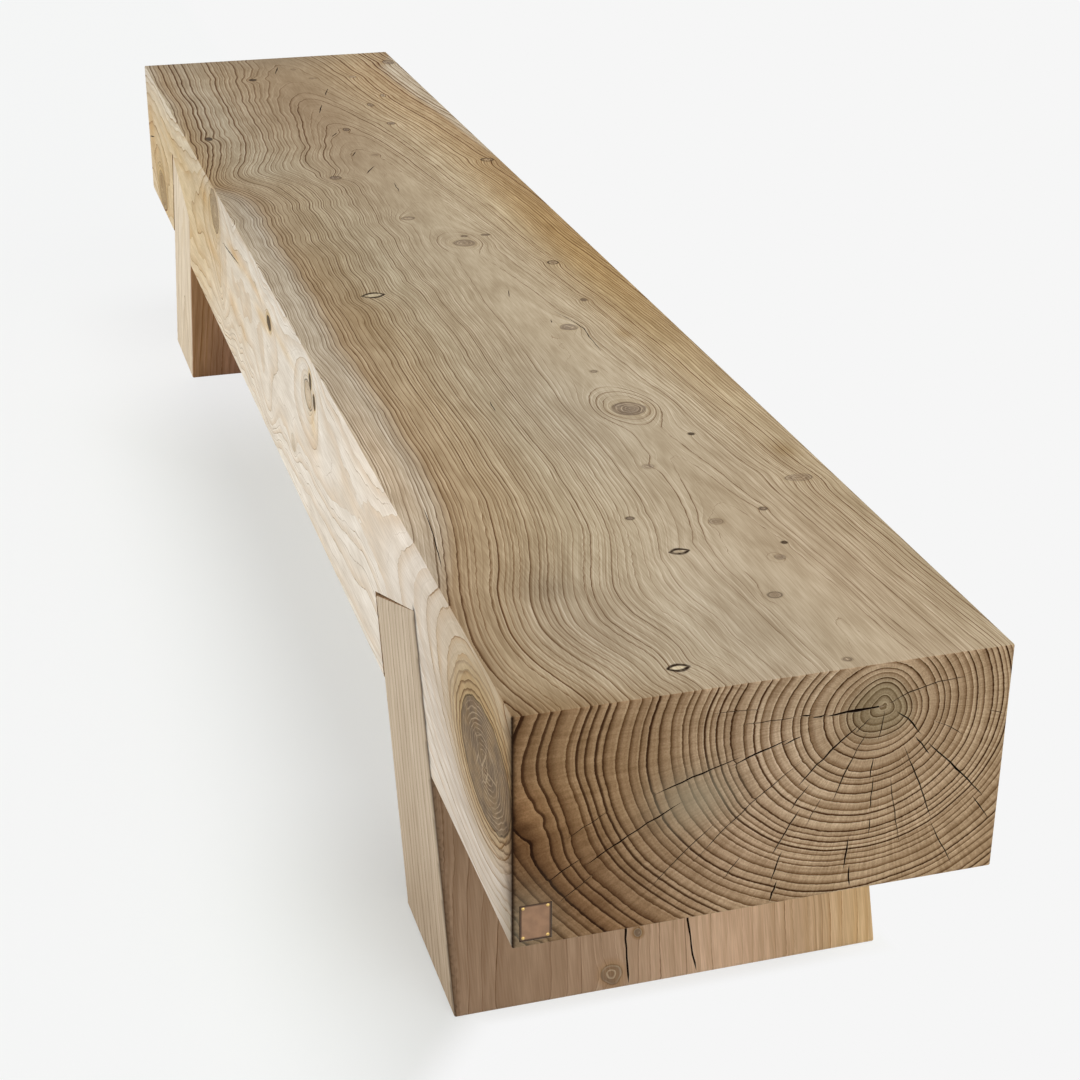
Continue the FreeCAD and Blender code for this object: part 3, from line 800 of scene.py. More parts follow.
class Skin:
    """Sheets, bores and their places on the bake picture, gathered for one mesh."""

    def __init__(self):
        self.points, self.faces, self.maps, self.sunk = [], [], [], []
        self.count = 0

    def take(self, points, faces, flat, sunk):
        self.points.append(points)
        self.faces.append(faces + self.count)
        self.maps.append(flat[faces].reshape(-1, 2))
        self.sunk.append(sunk)
        self.count += len(points)

    def sheet(self, origin, across, upwards, window, corners, steps, spacing, **options):
        """Lays a sheet in space; window is its share of the bake picture: left, low, width, height."""
        flat, depth, faces = lay_sheet(corners, steps, spacing, **options)
        across, upwards = np.asarray(across, float), np.asarray(upwards, float)
        inwards = -np.cross(across, upwards)
        points = np.asarray(origin, float) + np.outer(flat[:, 0], across) + np.outer(flat[:, 1], upwards)
        low, high = flat.min(axis=0), flat.max(axis=0)
        picture = np.asarray(window[:2]) + (flat - low) / (high - low) * np.asarray(window[2:])
        self.take(points + np.outer(depth, inwards), faces, picture, depth)

    def bore(self, rim, hollow, window, sunk=0.0):
        """A blind hole down from a rim of points, with its wall and its floor."""
        count = len(rim)
        floor = rim + np.asarray(hollow, float)
        points = np.vstack([rim, floor, floor.mean(axis=0)])
        ring = np.arange(count)
        after = np.roll(ring, -1)
        wall = np.vstack([np.stack([ring, after, after + count], 1),
                          np.stack([ring, after + count, ring + count], 1)])
        base = np.stack([np.full(count, 2 * count), ring + count, after + count], 1)
        faces = np.vstack([wall, base])
        turn = 2 * np.pi * ring / count
        around = np.stack([np.cos(turn), np.sin(turn)], 1)
        disc = np.vstack([0.5 + RIM_CIRCLE * around, 0.5 + FLOOR_CIRCLE * around, [[0.5, 0.5]]])
        picture = np.asarray(window[:2]) + disc * np.asarray(window[2:])
        self.take(points, faces, picture, np.full(len(points), sunk))

    def weld(self):
        """One set of points and triangles, in mm, with shared points joined."""
        points, sunk = np.concatenate(self.points), np.concatenate(self.sunk)
        faces, maps = np.concatenate(self.faces), np.concatenate(self.maps).reshape(-1, 3, 2)
        _, first, joined = np.unique(np.round(points / WELD), axis=0,
                                     return_index=True, return_inverse=True)
        faces = joined.reshape(-1)[faces]
        whole = (faces[:, 0] != faces[:, 1]) & (faces[:, 1] != faces[:, 2]) & (faces[:, 2] != faces[:, 0])
        return points[first], sunk[first], faces[whole], maps[whole]


print("skin ready, points closer than", WELD, "mm are joined")

# %% [markdown]
# ## Easing the arrises
# One rule eases any straight prism: a point that lies outside the prism shrunk by the easing radius
# is pulled onto a ball round the nearest point of that shrunk prism. A bevel would add points to a
# mesh that is fine already; this only moves the ones that are there.

# %% Easing and pieces
SHARP_ANGLE = math.radians(35)


def shrink(corners, inset):
    """A convex outline, corners anticlockwise, with every side moved in."""
    corners = np.asarray(corners, float)
    runs = np.roll(corners, -1, axis=0) - corners
    runs /= np.linalg.norm(runs, axis=1)[:, None]
    inwards = np.stack([-runs[:, 1], runs[:, 0]], 1)
    inner = []
    for i in range(len(corners)):
        before = i - 1
        rows = np.array([inwards[before], inwards[i]])
        reach = np.array([inwards[before] @ corners[i], inwards[i] @ corners[i]]) + inset
        inner.append(np.linalg.solve(rows, reach))
    return np.array(inner)


def ease(points, profile, half_width, radius):
    """Rounds the arrises of a prism with a convex side outline, all along its edges."""
    inner = shrink(profile, radius)
    side = points[:, [0, 2]]
    core = side.copy()
    outside = ~inside(side, inner)
    nearest = np.full(len(points), np.inf)
    for start, end in zip(inner, np.roll(inner, -1, axis=0)):
        line = end - start
        share = np.clip((side - start) @ line / (line @ line), 0, 1)
        foot = start + share[:, None] * line
        distance = np.linalg.norm(side - foot, axis=1)
        better = outside & (distance < nearest)
        core[better], nearest[better] = foot[better], distance[better]
    limit = half_width - radius
    core = np.stack([core[:, 0], np.clip(points[:, 1], -limit, limit), core[:, 1]], 1)
    away = points - core
    distance = np.linalg.norm(away, axis=1)
    scale = np.where(distance > radius, radius / np.maximum(distance, 1e-9), 1.0)
    return core + away * scale[:, None]


def make_piece(name, points, faces, maps, attributes):
    """A mesh object in metres, with its bake map, its attributes and crisp edges at the splits."""
    mesh = bpy.data.meshes.new(name)
    mesh.from_pydata((points * MM).tolist(), [], faces.tolist())
    layer = mesh.uv_layers.new(name="OFBake")
    layer.data.foreach_set("uv", maps.reshape(-1))
    for label, values in attributes.items():
        kind = "FLOAT" if values.ndim == 1 else "FLOAT_VECTOR"
        field = "value" if values.ndim == 1 else "vector"
        attribute = mesh.attributes.new(label, kind, "POINT")
        attribute.data.foreach_set(field, values.astype(np.float32).reshape(-1))
    mesh.shade_smooth()
    mesh.set_sharp_from_angle(angle=SHARP_ANGLE)
    piece = bpy.data.objects.new(name, mesh)
    bpy.context.scene.collection.objects.link(piece)
    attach(piece, "root")
    print(name, len(points), "points,", len(faces), "triangles")
    return piece


print("easing ready")

# %% [markdown]
# ## The housings
# Each leg leans outwards by 20 degrees and goes up into a slanted slot across the underside. The
# slot is a little wider than the leg on the outer side, and its roof is square to the leg. These
# few sizes fix the whole side outline, for the slot and for the leg that fills it.

# %% Side outlines of housing and leg
LEG_LEAN = math.radians(20)
LEG_INSET = 285.0
LEG_THICKNESS = 186.0
HOUSING_DEPTH = 158.0
HOUSING_SLACK = 2.5
CROWN_GAP = 4.0
BEAM_ARRIS = 2.0
LEG_ARRIS = 2.5
LEG_UP = np.array([-math.sin(LEG_LEAN), math.cos(LEG_LEAN)])
LEG_IN = np.array([-math.cos(LEG_LEAN), -math.sin(LEG_LEAN)])

mouth = np.array([HALF_LENGTH - LEG_INSET, UNDERSIDE])
outer_crown = mouth + LEG_UP * HOUSING_DEPTH
inner_crown = outer_crown + LEG_IN * LEG_THICKNESS
inner_mouth = inner_crown - LEG_UP * (inner_crown[1] - UNDERSIDE) / LEG_UP[1]
slack_mouth = mouth + [HOUSING_SLACK / math.cos(LEG_LEAN), 0.0]
slack_crown = outer_crown - LEG_IN * HOUSING_SLACK
HOUSING = np.array([inner_mouth, inner_crown, slack_crown, slack_mouth])
leg_crown_inner = inner_crown - LEG_UP * CROWN_GAP
LEG_PROFILE = np.array([inner_crown - LEG_UP * inner_crown[1] / LEG_UP[1],
                        mouth - LEG_UP * UNDERSIDE / LEG_UP[1], outer_crown, leg_crown_inner])
MIRROR = np.array([-1.0, 1.0])
print("housing x, z:", HOUSING.round(1).tolist())
print("leg x, z:", LEG_PROFILE.round(1).tolist())

# %% [markdown]
# ## Splits in the end of the log
# End grain dries first, so the end is full of checks that run out from the heart. They are given
# the way a sawyer would describe them: a direction, from where to where, and how wide they gape.

# %% Checks of both ends
# direction at the start and at the end in degrees, start and end distance from the heart, width
END_CHECKS = [
    (180, 182, 3, 46, 3.2), (181, 181, 53, 63, 1.8), (178, 179, 66, 76, 1.6), (179, 179, 81, 122, 0.9),
    (193, 195, 76, 92, 1.5), (192, 195, 92, 134, 2.2), (192.6, 194.5, 138, 200, 2.1),
    (199.5, 203, 197, 272, 2.0), (194, 196.5, 252, 284, 1.0), (201, 202.4, 284, 313, 1.2),
    (205.3, 206.8, 283, 312, 1.2), (221, 223, 17, 32, 1.4), (215, 222, 34, 91, 2.1),
    (226, 228.5, 93, 117, 1.7), (231.6, 234.5, 119, 156, 2.3), (236.7, 239.6, 157, 181, 2.2),
    (241, 242.5, 183, 199, 2.6), (239, 245, 34, 89, 1.6), (237.5, 239.4, 98, 123, 0.9),
    (276, 264, 6, 31, 1.2), (263, 263.7, 51, 70, 1.4), (266.5, 267, 72, 98, 1.7),
    (267.7, 268, 109, 126, 1.1), (259.5, 260.8, 130, 157, 2.0), (262.4, 264, 159, 176, 2.2),
    (29, 12.6, 8, 67, 1.4), (329, 317.5, 18, 46, 1.9), (312.5, 310.5, 50, 69, 1.8),
    (316, 314, 71, 136, 2.0), (311.6, 310, 142, 167, 1.2), (297, 294, 59, 124, 1.5),
    (293.3, 294.5, 141, 182, 1.1), (279, 280.4, 80, 136, 1.0), (210, 217, 95, 192, 1.2),
    (211, 215.4, 178, 240, 1.3), (226, 227, 177, 199, 1.1), (336, 332, 55, 84, 0.8),
    (349, 347.5, 101, 114, 0.8), (172.6, 173.8, 114, 150, 0.8),
]
CHECK_DEPTH, DEEP_WIDTH = 9.0, 2
CHECK_GAPE, CHECK_RUN_ON = 0.85, 0.18
CHECK_STATIONS, CHECK_SEED = 4, 100
# the far end, where nothing is known: how many are tried, their seeds, and how they are drawn
FAR_CHECKS, FAR_SEED, FAR_SPLIT_SEED = 14, 41, 700
FAR_TURN, FAR_START, FAR_RUN, FAR_WIDTH = (-0.3, 0.3), (10, 60), (25, 60), (1.0, 2.2)
FAR_MARGIN = (8, 11)


def end_checks():
    heart = np.array(log_heart(HALF_LENGTH))
    checks = []
    for number, (turn, last_turn, start, end, width) in enumerate(END_CHECKS):
        turns = np.radians(np.linspace(turn, last_turn, CHECK_STATIONS))
        run_on = CHECK_RUN_ON * (end - start)
        reach = np.linspace(start - run_on, end + run_on, CHECK_STATIONS)
        path = heart + reach[:, None] * np.stack([np.cos(turns), np.sin(turns)], 1)
        depth = CHECK_DEPTH * min(1.0, width / DEEP_WIDTH)
        checks.append(split(path, CHECK_GAPE * width, depth, CHECK_SEED + number))
    return checks


def far_checks():
    """Seeded checks round the heart where it meets the far end; those that leave the face are dropped."""
    rng = np.random.default_rng(FAR_SEED)
    heart = np.array(log_heart(-HALF_LENGTH)) * MIRROR
    middle = 0.5 * (UNDERSIDE + SEAT)
    limits = np.array([HALF_WIDTH, SEAT - middle]) - FAR_MARGIN
    checks = []
    for number in range(FAR_CHECKS):
        turn = 2 * np.pi * (number + rng.uniform(*FAR_TURN)) / FAR_CHECKS
        start = rng.uniform(*FAR_START)
        reach = np.array([start, start + rng.uniform(*FAR_RUN)])
        path = heart + reach[:, None] * np.array([math.cos(turn), math.sin(turn)])
        if np.all(np.abs(path - [0.0, middle]) < limits):
            checks.append(split(path, rng.uniform(*FAR_WIDTH), CHECK_DEPTH, FAR_SPLIT_SEED + number))
    return checks


print(len(END_CHECKS), "checks round the heart at", np.round(log_heart(HALF_LENGTH), 1))

# %% [markdown]
# ## Sizes of the beam's mesh
# The top and the near end are what everyone looks at, so they get the closest points; the underside
# gets the fewest. Long splits on the top and the left side are drawn as paths along the face.

# %% Beam sizes and long splits
STEP_ALONG, STEP_ACROSS, STEP_UP = 5.0, 4.4, 4.4
TOP_SPACING, LEFT_SPACING, RIGHT_SPACING, UNDER_SPACING = 5.6, 6.6, 10.2, 20.0
NEAR_SPACING, FAR_SPACING, SLOT_SPACING = 3.2, 6.5, 26.0
DOWEL_BORE, DOWEL_SPACING, DOWEL_DEPTH, BORE_SIDES = 30.4, 130.0, 68.0, 24
DOWEL_PLACES = (-DOWEL_SPACING, 0.0, DOWEL_SPACING)
PLATE_ROOM, RECESS_DEPTH = 0.6, 1.5
WINDOWS = {"top": (0.005, 0.595, 0.99, 0.40), "left": (0.005, 0.43, 0.99, 0.155),
           "right": (0.005, 0.31, 0.99, 0.11), "near": (0.005, 0.09, 0.60, 0.21),
           "far": (0.62, 0.09, 0.36, 0.21), "under": (0.005, 0.035, 0.99, 0.045)}
SLOT_WINDOW = (0.005, 0.005, 0.08, 0.02)
TOP_SEED, LEFT_SEED = 300, 400
# path along the face, width and depth of the long splits
TOP_SPLITS = [
    ([(790, -192), (850, -197), (930, -208)], 1.0, 1.5), ([(305, 83), (318, 80)], 1.2, 1.0),
    ([(275, 95), (310, 104), (345, 110), (430, 106)], 1.2, 1.5), ([(185, 64), (213, 57)], 1.2, 1.0),
    ([(-520, 20), (-490, 8)], 2.0, 1.5), ([(-430, 30), (-410, 18), (-388, 8)], 2.0, 1.5),
    ([(-335, 37), (-280, 33)], 1.2, 1.0), ([(-640, 15), (-616, 2)], 2.2, 1.5),
    ([(540, -58), (575, -60)], 1.0, 1.0), ([(-940, 60), (-890, 46)], 1.8, 1.0),
    ([(-830, 28), (-770, 12)], 2.0, 1.0), ([(-1130, 8), (-1070, -8)], 2.0, 1.0),
]
LEFT_SPLITS = [
    ([(-318, 384), (-270, 388), (-225, 392), (-150, 399)], 1.8, 0.4),
    ([(-1192, 322), (-1150, 332), (-1120, 338)], 2.2, 0.4),
]


print(len(TOP_SPLITS), "long splits on the top,", len(LEFT_SPLITS), "on the left")

# %% [markdown]
# ## The beam's skin
# Six faces, two slots, six dowel holes and the shallow recess for the plate. A slot is three sheets:
# a roof with the dowel holes in it, and two walls. A boolean could cut the slots from a block, but
# it can leave slivers along the cut; sheets stay even.

# %% The beam's skin
def rectangle(left, low, right, high):
    return [(left, low), (right, low), (right, high), (left, high)]


def add_slot(skin, side):
    """Roof, walls and dowel holes of one housing; side is 1 near, -1 far."""
    outline = HOUSING * [side, 1.0]
    inner_low, inner_top, outer_top, outer_low = outline
    across = np.array([0.0, side, 0.0])
    edge = -side * HALF_WIDTH
    for start, end in ((outer_top, inner_top), (outer_low, outer_top), (inner_top, inner_low)):
        length = np.linalg.norm(end - start)
        run = np.array([end[0] - start[0], 0.0, end[1] - start[1]]) / length
        steep = abs(run[2]) > abs(run[0])
        holes = []
        if not steep:
            middle = HOUSING_SLACK + LEG_THICKNESS / 2
            holes = [circle((middle, HALF_WIDTH + y), DOWEL_BORE, BORE_SIDES) for y in DOWEL_PLACES]
        origin = np.array([start[0], edge, start[1]])
        corners = rectangle(0, 0, length, 2 * HALF_WIDTH)
        steps = (STEP_UP if steep else STEP_ALONG, STEP_ACROSS)
        skin.sheet(origin, run, across, SLOT_WINDOW, corners, steps, SLOT_SPACING,
                   arris=BEAM_ARRIS, holes=holes)
        upwards = np.array([LEG_UP[0] * side, 0.0, LEG_UP[1]])
        for hole in holes:
            rim = origin + np.outer(hole[:, 0], run) + np.outer(hole[:, 1], across)
            skin.bore(rim, upwards * DOWEL_DEPTH, SLOT_WINDOW)


def beam_skin():
    skin = Skin()
    long_steps, end_steps = (STEP_ALONG, STEP_ACROSS), (STEP_ACROSS, STEP_UP)
    side_steps = (STEP_ALONG, STEP_UP)
    x, y = HALF_LENGTH, HALF_WIDTH
    eased = {"arris": BEAM_ARRIS}
    top = rectangle(-x, -y, x, y)
    skin.sheet((0, 0, SEAT), (1, 0, 0), (0, 1, 0), WINDOWS["top"], top, long_steps, TOP_SPACING,
               features=face_features(TOP_KNOTS, TOP_SPLITS, TOP_SEED), **eased)
    far_slot = (HOUSING * MIRROR)[::-1]
    side = [(-x, UNDERSIDE), *far_slot, *HOUSING, (x, UNDERSIDE), (x, SEAT), (-x, SEAT)]
    skin.sheet((0, -y, 0), (1, 0, 0), (0, 0, 1), WINDOWS["left"], side, side_steps, LEFT_SPACING,
               features=face_features(LEFT_KNOTS, LEFT_SPLITS, LEFT_SEED), **eased)
    right_knots = [(-row[0], *row[1:]) for row in RIGHT_KNOTS]
    skin.sheet((0, y, 0), (-1, 0, 0), (0, 0, 1), WINDOWS["right"], side, side_steps, RIGHT_SPACING,
               features=face_features(right_knots), **eased)
    end = rectangle(-y, UNDERSIDE, y, SEAT)
    recess = plate_recess()
    skin.sheet((x, 0, 0), (0, 1, 0), (0, 0, 1), WINDOWS["near"], end, end_steps, NEAR_SPACING,
               features=end_checks(), holes=[recess], **eased)
    rim = np.stack([np.full(len(recess), x), recess[:, 0], recess[:, 1]], 1)
    skin.bore(rim, (-RECESS_DEPTH, 0, 0), SLOT_WINDOW, sunk=RECESS_DEPTH)
    skin.sheet((-x, 0, 0), (0, -1, 0), (0, 0, 1), WINDOWS["far"], end, end_steps, FAR_SPACING,
               features=far_checks(), **eased)
    spans = [(-x, -slack_mouth[0]), (-inner_mouth[0], inner_mouth[0]), (slack_mouth[0], x)]
    left, low, width, height = WINDOWS["under"]
    for start, stop in spans:
        panel = rectangle(start, -y, stop, y)
        window = (left + (start + x) / (2 * x) * width, low, (stop - start) / (2 * x) * width, height)
        knots = [(row[0], -row[1], *row[2:]) for row in UNDER_KNOTS if start < row[0] < stop]
        skin.sheet((0, 0, UNDERSIDE), (1, 0, 0), (0, -1, 0), window, panel, long_steps, UNDER_SPACING,
                   features=face_features(knots), **eased)
    for slot_side in (1, -1):
        add_slot(skin, slot_side)
    return skin.weld()


def plate_recess():
    """The recess's outline on the near end, a little larger than the plate."""
    low, high = (np.array(corner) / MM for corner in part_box("plate"))
    (left, foot), (right, head) = low[1:] - PLATE_ROOM, high[1:] + PLATE_ROOM
    return np.array(rectangle(left, foot, right, head))


beam_mesh = beam_skin()
print("beam's skin:", len(beam_mesh[0]), "points,", len(beam_mesh[2]), "triangles")

# %% [markdown]
# ## Splits, stains and tints
# Three marks are stored on the mesh: how deep in a split a point lies, grey stain, and dark lines:
# one down the near left arris, and painted shadow along the near joint's gap. Patches of the wood
# are darker, paler or warmer, and the near end of the left side is darker by painted shade. Each
# patch is a smooth hill with a tint, and the left side has streaks of honey-coloured resin as well.
# All this could be painted on a picture, but a hill is one line to read and to change.

# %% Marks and tints
# centre, reach and strength of grey stains
STAINS = [((HALF_LENGTH, -63, 344), (30, 26, 20), 0.85), ((HALF_LENGTH, -212, 246), (30, 18, 22), 0.6)]
# width in mm of the dark line at the near left arris and of the painted joint shadow, and how sharp they end
DARK_ARRIS, JOINT_SHADOW_WIDTH, DARK_FALL = 2.4, 4.2, 4


def crack_share(sunk):
    """Half at the rims of a split and whole at its bottom, so that the darkness starts at the rim."""
    return 0.5 * (sunk > 0) + 0.5 * (sunk > 2 * RIM_DEPTH)


def log_marks(points, sunk):
    """Darkness of splits, grey stain, a dark line down the near left arris, painted shadow at the near joint.
    """
    stain = np.zeros(len(points))
    for centre, reach, strength in STAINS:
        stain = np.maximum(stain, strength * bump(points, centre, reach))
    corner = np.hypot(points[:, 0] - HALF_LENGTH, points[:, 1] + HALF_WIDTH)
    gap = edge_distance(points[:, [0, 2]], np.array([slack_mouth, slack_crown]), closed=False)
    gap = np.where(points[:, 1] < 0, gap / JOINT_SHADOW_WIDTH, FAR_OFF)
    dark = np.exp(-(np.minimum(corner / DARK_ARRIS, gap)) ** DARK_FALL)
    return np.stack([crack_share(sunk), stain, dark], 1)


# centre, reach and tint of the patches; some of them are painted shade
TONES_AND_PAINTED_SHADE = [
    ((-850, 0, SEAT), (380, 80, 60), (0.67, 0.59, 0.535)),
    ((-850, 140, SEAT), (320, 65, 60), (1.23, 1.23, 1.21)),
    ((-850, -170, SEAT), (350, 50, 60), (0.98, 1.08, 1.26)),
    ((-900, 0, SEAT), (400, 300, 60), (0.91, 0.915, 0.925)),
    ((-250, -205, SEAT), (140, 22, 60), (0.90, 0.89, 0.88)),
    ((600, 150, SEAT), (150, 50, 60), (1.06, 1.08, 1.11)),
    ((600, 0, SEAT), (150, 60, 60), (0.90, 0.92, 0.96)),
    ((1120, 0, SEAT), (90, 60, 60), (0.93, 0.94, 0.975)),
    ((-1210, -40, SEAT), (70, 190, 60), (0.80, 0.81, 0.84)),
    ((0, -130, SEAT), (330, 60, 60), (0.87, 0.91, 0.95)),
    ((0, 0, SEAT), (260, 60, 60), (0.88, 0.88, 0.88)),
    ((1020, 150, SEAT), (180, 60, 60), (0.92, 0.88, 0.855)),
    ((60, 195, SEAT), (380, 34, 60), (0.89, 0.76, 0.54)), ((960, 30, SEAT), (60, 50, 60), (1.06, 1.07, 1.10)),
    ((700, -207, SEAT), (130, 12, 40), (1.20, 1.15, 1.10)),
    ((1060, -130, SEAT), (110, 50, 60), (0.85, 0.835, 0.86)),
    ((992, -128, SEAT), (20, 14, 40), (0.74, 0.72, 0.70)),
    ((250, -135, SEAT), (70, 22, 40), (0.86, 0.81, 0.74)),
    ((60, -150, SEAT), (90, 26, 40), (0.90, 0.86, 0.80)), ((755, 195, SEAT), (16, 9, 40), (0.76, 0.69, 0.58)),
    ((377, 150, SEAT), (13, 6, 40), (0.80, 0.73, 0.62)),
    ((HALF_LENGTH, -180, 330), (20, 102, 150), (0.63, 0.54, 0.44)),
    ((HALF_LENGTH, -206, 362), (8, 11, 14), (1.55, 1.62, 1.70)),
    ((HALF_LENGTH, 130, 350), (20, 70, 90), (0.96, 0.94, 0.94)),
    ((HALF_LENGTH, -20, 330), (20, 45, 80), (1.08, 1.08, 1.15)),
    ((HALF_LENGTH, -180, 265), (20, 90, 50), (0.86, 0.88, 0.96)),
    # painted shade: the near end of the left side, where less light falls
    ((1150, -240, 330), (230, 30, 160), (0.59, 0.54, 0.505)),
    ((-800, -240, 330), (420, 30, 200), (0.86, 0.755, 0.55)),
]
# streaks of resin on the left side: place along and up, reach along and up, tint
HONEY = [
    (365, 370, 14, 14, (1.00, 0.90, 0.72)), (350, 337, 35, 18, (0.98, 0.92, 0.85)),
    (25, 382, 40, 7, (0.92, 0.77, 0.55)), (170, 397, 70, 5, (0.95, 0.86, 0.72)),
    (-195, 400, 48, 5, (0.92, 0.76, 0.52)), (-480, 405, 35, 16, (0.93, 0.82, 0.64)),
    (-235, 315, 35, 12, (0.96, 0.86, 0.72)), (-150, 302, 18, 10, (0.95, 0.86, 0.72)),
    (-800, 395, 140, 9, (0.93, 0.85, 0.71)), (-1150, 350, 30, 40, (0.94, 0.82, 0.66)),
    (-60, 408, 90, 5, (0.95, 0.84, 0.68)), (-420, 340, 60, 8, (0.95, 0.85, 0.70)),
]
HONEY_REACH = 10
TONES_AND_PAINTED_SHADE += [((x, -HALF_WIDTH, z), (along, HONEY_REACH, up), tint) for x, z, along, up, tint in HONEY]


def log_tone_and_painted_shade(points):
    shade = np.ones((len(points), 3))
    for centre, reach, tint in TONES_AND_PAINTED_SHADE:
        shade *= 1 - np.outer(bump(points, centre, reach), 1 - np.asarray(tint))
    return shade


print(len(STAINS), "stains,", len(TONES_AND_PAINTED_SHADE), "tints")

# %% [markdown]
# ## Strength of the lines
# Ring lines aren't drawn alike everywhere. They are bolder at the far end, in the near left corner
# and along the right edge, finer in the middle of the near end, and faint where the near part of
# the seat cuts a ring almost flat. Weaker lines within a year show in the middle of the bench.
# Nodes could compare places as well, but in Python each rule is a line or two.

# %% Strength of the lines
# depths below the seat between which a point stops counting as on it
SEAT_SKIN = (6, 2)
# ring widths on the surface between which a line fades, and how much of it goes
FLAT_FADE, FLAT_LOSS, FLAT_SPAN = (14.0, 28.0), 0.7, (-600, -300)
# centre, reach and amount of patches with bolder or finer lines
BOLD_HILLS = [
    ((1090, -150, SEAT), (120, 70, 60), 0.45), ((60, 195, SEAT), (380, 40, 60), 0.5),
    ((1110, -HALF_WIDTH, 380), (110, 30, 90), 0.8), ((HALF_LENGTH, -190, 320), (20, 130, 160), 0.25),
    ((HALF_LENGTH, *log_heart(HALF_LENGTH)), (20, 80, 70), -0.4),
]
# bolder towards the far end: from where to where, by how much, and how much more on the left and right
BOLD_ALONG, BOLD_FAR, BOLD_LEFT, BOLD_RIGHT = (-200, -800), 0.5, 0.9, 1.25
LEFT_SPAN, RIGHT_SPAN = (10, -50), (50, 110)
# finer in the middle of the near part: where that begins along, on its left and right, and how much
FINE_ALONG, FINE_LEFT, FINE_RIGHT, FINER = (820, 1000), (-150, -50), (190, 110), 0.35
# lines within a year: strength at the ends, more in the middle and on its left, and where that begins
EXTRA_ENDS, EXTRA_MIDDLE, EXTRA_LEFT = 0.1, 0.35, 0.4
EXTRA_FAR, EXTRA_NEAR, EXTRA_ACROSS = (-500, -300), (950, 700), (0, -80)


def on_seat(points):
    return soft(*(SEAT - depth for depth in SEAT_SKIN), points[:, 2])


def log_bold(points):
    """How much thicker the ring lines are drawn at each point."""
    along, across, _ = points.T
    sides = BOLD_FAR + BOLD_LEFT * soft(*LEFT_SPAN, across) + BOLD_RIGHT * soft(*RIGHT_SPAN, across)
    far = soft(*BOLD_ALONG, along) * sides
    middle = soft(*FINE_ALONG, along) * soft(*FINE_LEFT, across) * soft(*FINE_RIGHT, across)
    return 1.0 + far - FINER * middle * on_seat(points) + hills(points, BOLD_HILLS)


def flat_fade(points, pitch):
    """Where the near part of the seat cuts a ring almost flat, its line is faint."""
    near = soft(*FLAT_SPAN, points[:, 0])
    return 1 - FLAT_LOSS * near * soft(*FLAT_FADE, pitch) * on_seat(points)


def log_extra(points):
    """How strong the lines within a year are: they show in the middle of the bench and on its left."""
    along, across, _ = points.T
    middle = soft(*EXTRA_FAR, along) * soft(*EXTRA_NEAR, along)
    return EXTRA_ENDS + middle * (EXTRA_MIDDLE + EXTRA_LEFT * soft(*EXTRA_ACROSS, across))


def log_rays(points):
    """Direction from the heart, as a unit vector, and distance from it in metres."""
    heart = np.stack(log_heart(points[:, 0]), 1)
    off = points[:, 1:] - heart
    distance = np.linalg.norm(off, axis=1)[:, None]
    return np.hstack([off / np.maximum(distance, 1e-6), distance * MM])


print("lines at three places:", log_bold(sample).round(2))

# %% [markdown]
# ## The beam
# Everything about the log is now stored on its points: year, age, nearest knot, marks, tint with
# painted shade, and how boldly its lines are drawn. The near end cuts no limb across, so knots stay off it.

# %% The beam
END_SKIN = 0.5


def make_beam():
    points, sunk, faces, maps = beam_mesh
    block = rectangle(-HALF_LENGTH, UNDERSIDE, HALF_LENGTH, SEAT)
    points = ease(points, block, HALF_WIDTH, BEAM_ARRIS)
    years, age = log_years(points)
    knots = knot_map(points, LOG_KNOTS)
    knots[points[:, 0] > HALF_LENGTH - END_SKIN, 0] = FAR_OFF
    pitch = ring_pitch(points, faces, lambda spots: log_years(spots)[0])
    attributes = {"year": years, "age": age, "knot": knots[:, :3], "knot_radius": knots[:, 3],
                  "mark": log_marks(points, sunk), "shade": log_tone_and_painted_shade(points), "grain": points * MM,
                  "ray": log_rays(points), "bold": log_bold(points) * flat_fade(points, pitch),
                  "extra": log_extra(points), "pitch": pitch}
    piece = make_piece("beam_log", points, faces, maps, attributes)
    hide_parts("beam")
    return piece


beam = make_beam()

# %% [markdown]
# ## The legs
# A leg is a thick slab with the lean cut on its foot and its crown. It comes from a faster grown
# tree, with rings about a centimetre wide. The near leg was sawn beside the heart, which ran a
# little in front of its outer face on the left, so that face shows straight lines that stand closer
# towards the right. The far leg holds its heart. Both share one recipe; the far one is turned half
# round and grows its own rings.

# %% Leg trees
LEG_RINGS = {"near_leg": ring_edges(inner=10.0, outer=11.5, spread=0.22, seed=17),
             "far_leg": ring_edges(inner=9.0, outer=10.5, spread=0.25, seed=23)}
# how far the rings wander in mm with the wavelengths, and the first seed of each leg
LEG_WANDER = [(2.5, (420, 170, 170)), (0.9, (120, 80, 80)), (0.4, (50, 40, 40))]
LEG_SEEDS = {"near_leg": 38, "far_leg": 37}
# where the heart lies across the slab and behind its outer face, and how it drifts up the leg
LEG_HEARTS = {"near_leg": (-150.0, -60.0, 0.06), "far_leg": (60.0, 120.0, -0.05)}
LEG_SAP_RADIUS = {"near_leg": 350.0, "far_leg": 165.0}
# up the leg, across, half height, half width, lift, reach, rim, core, all on the outer face
LEG_KNOTS = {"near_leg": [(16.5, -59.3, 10, 10, 7, 17, 0.35, 0.55), (53, -29, 4.5, 4.5, 3, 10, 0.35, 0.85)],
             "far_leg": [(120, 70, 11, 10, 8, 20, 0.4, 0.7)]}
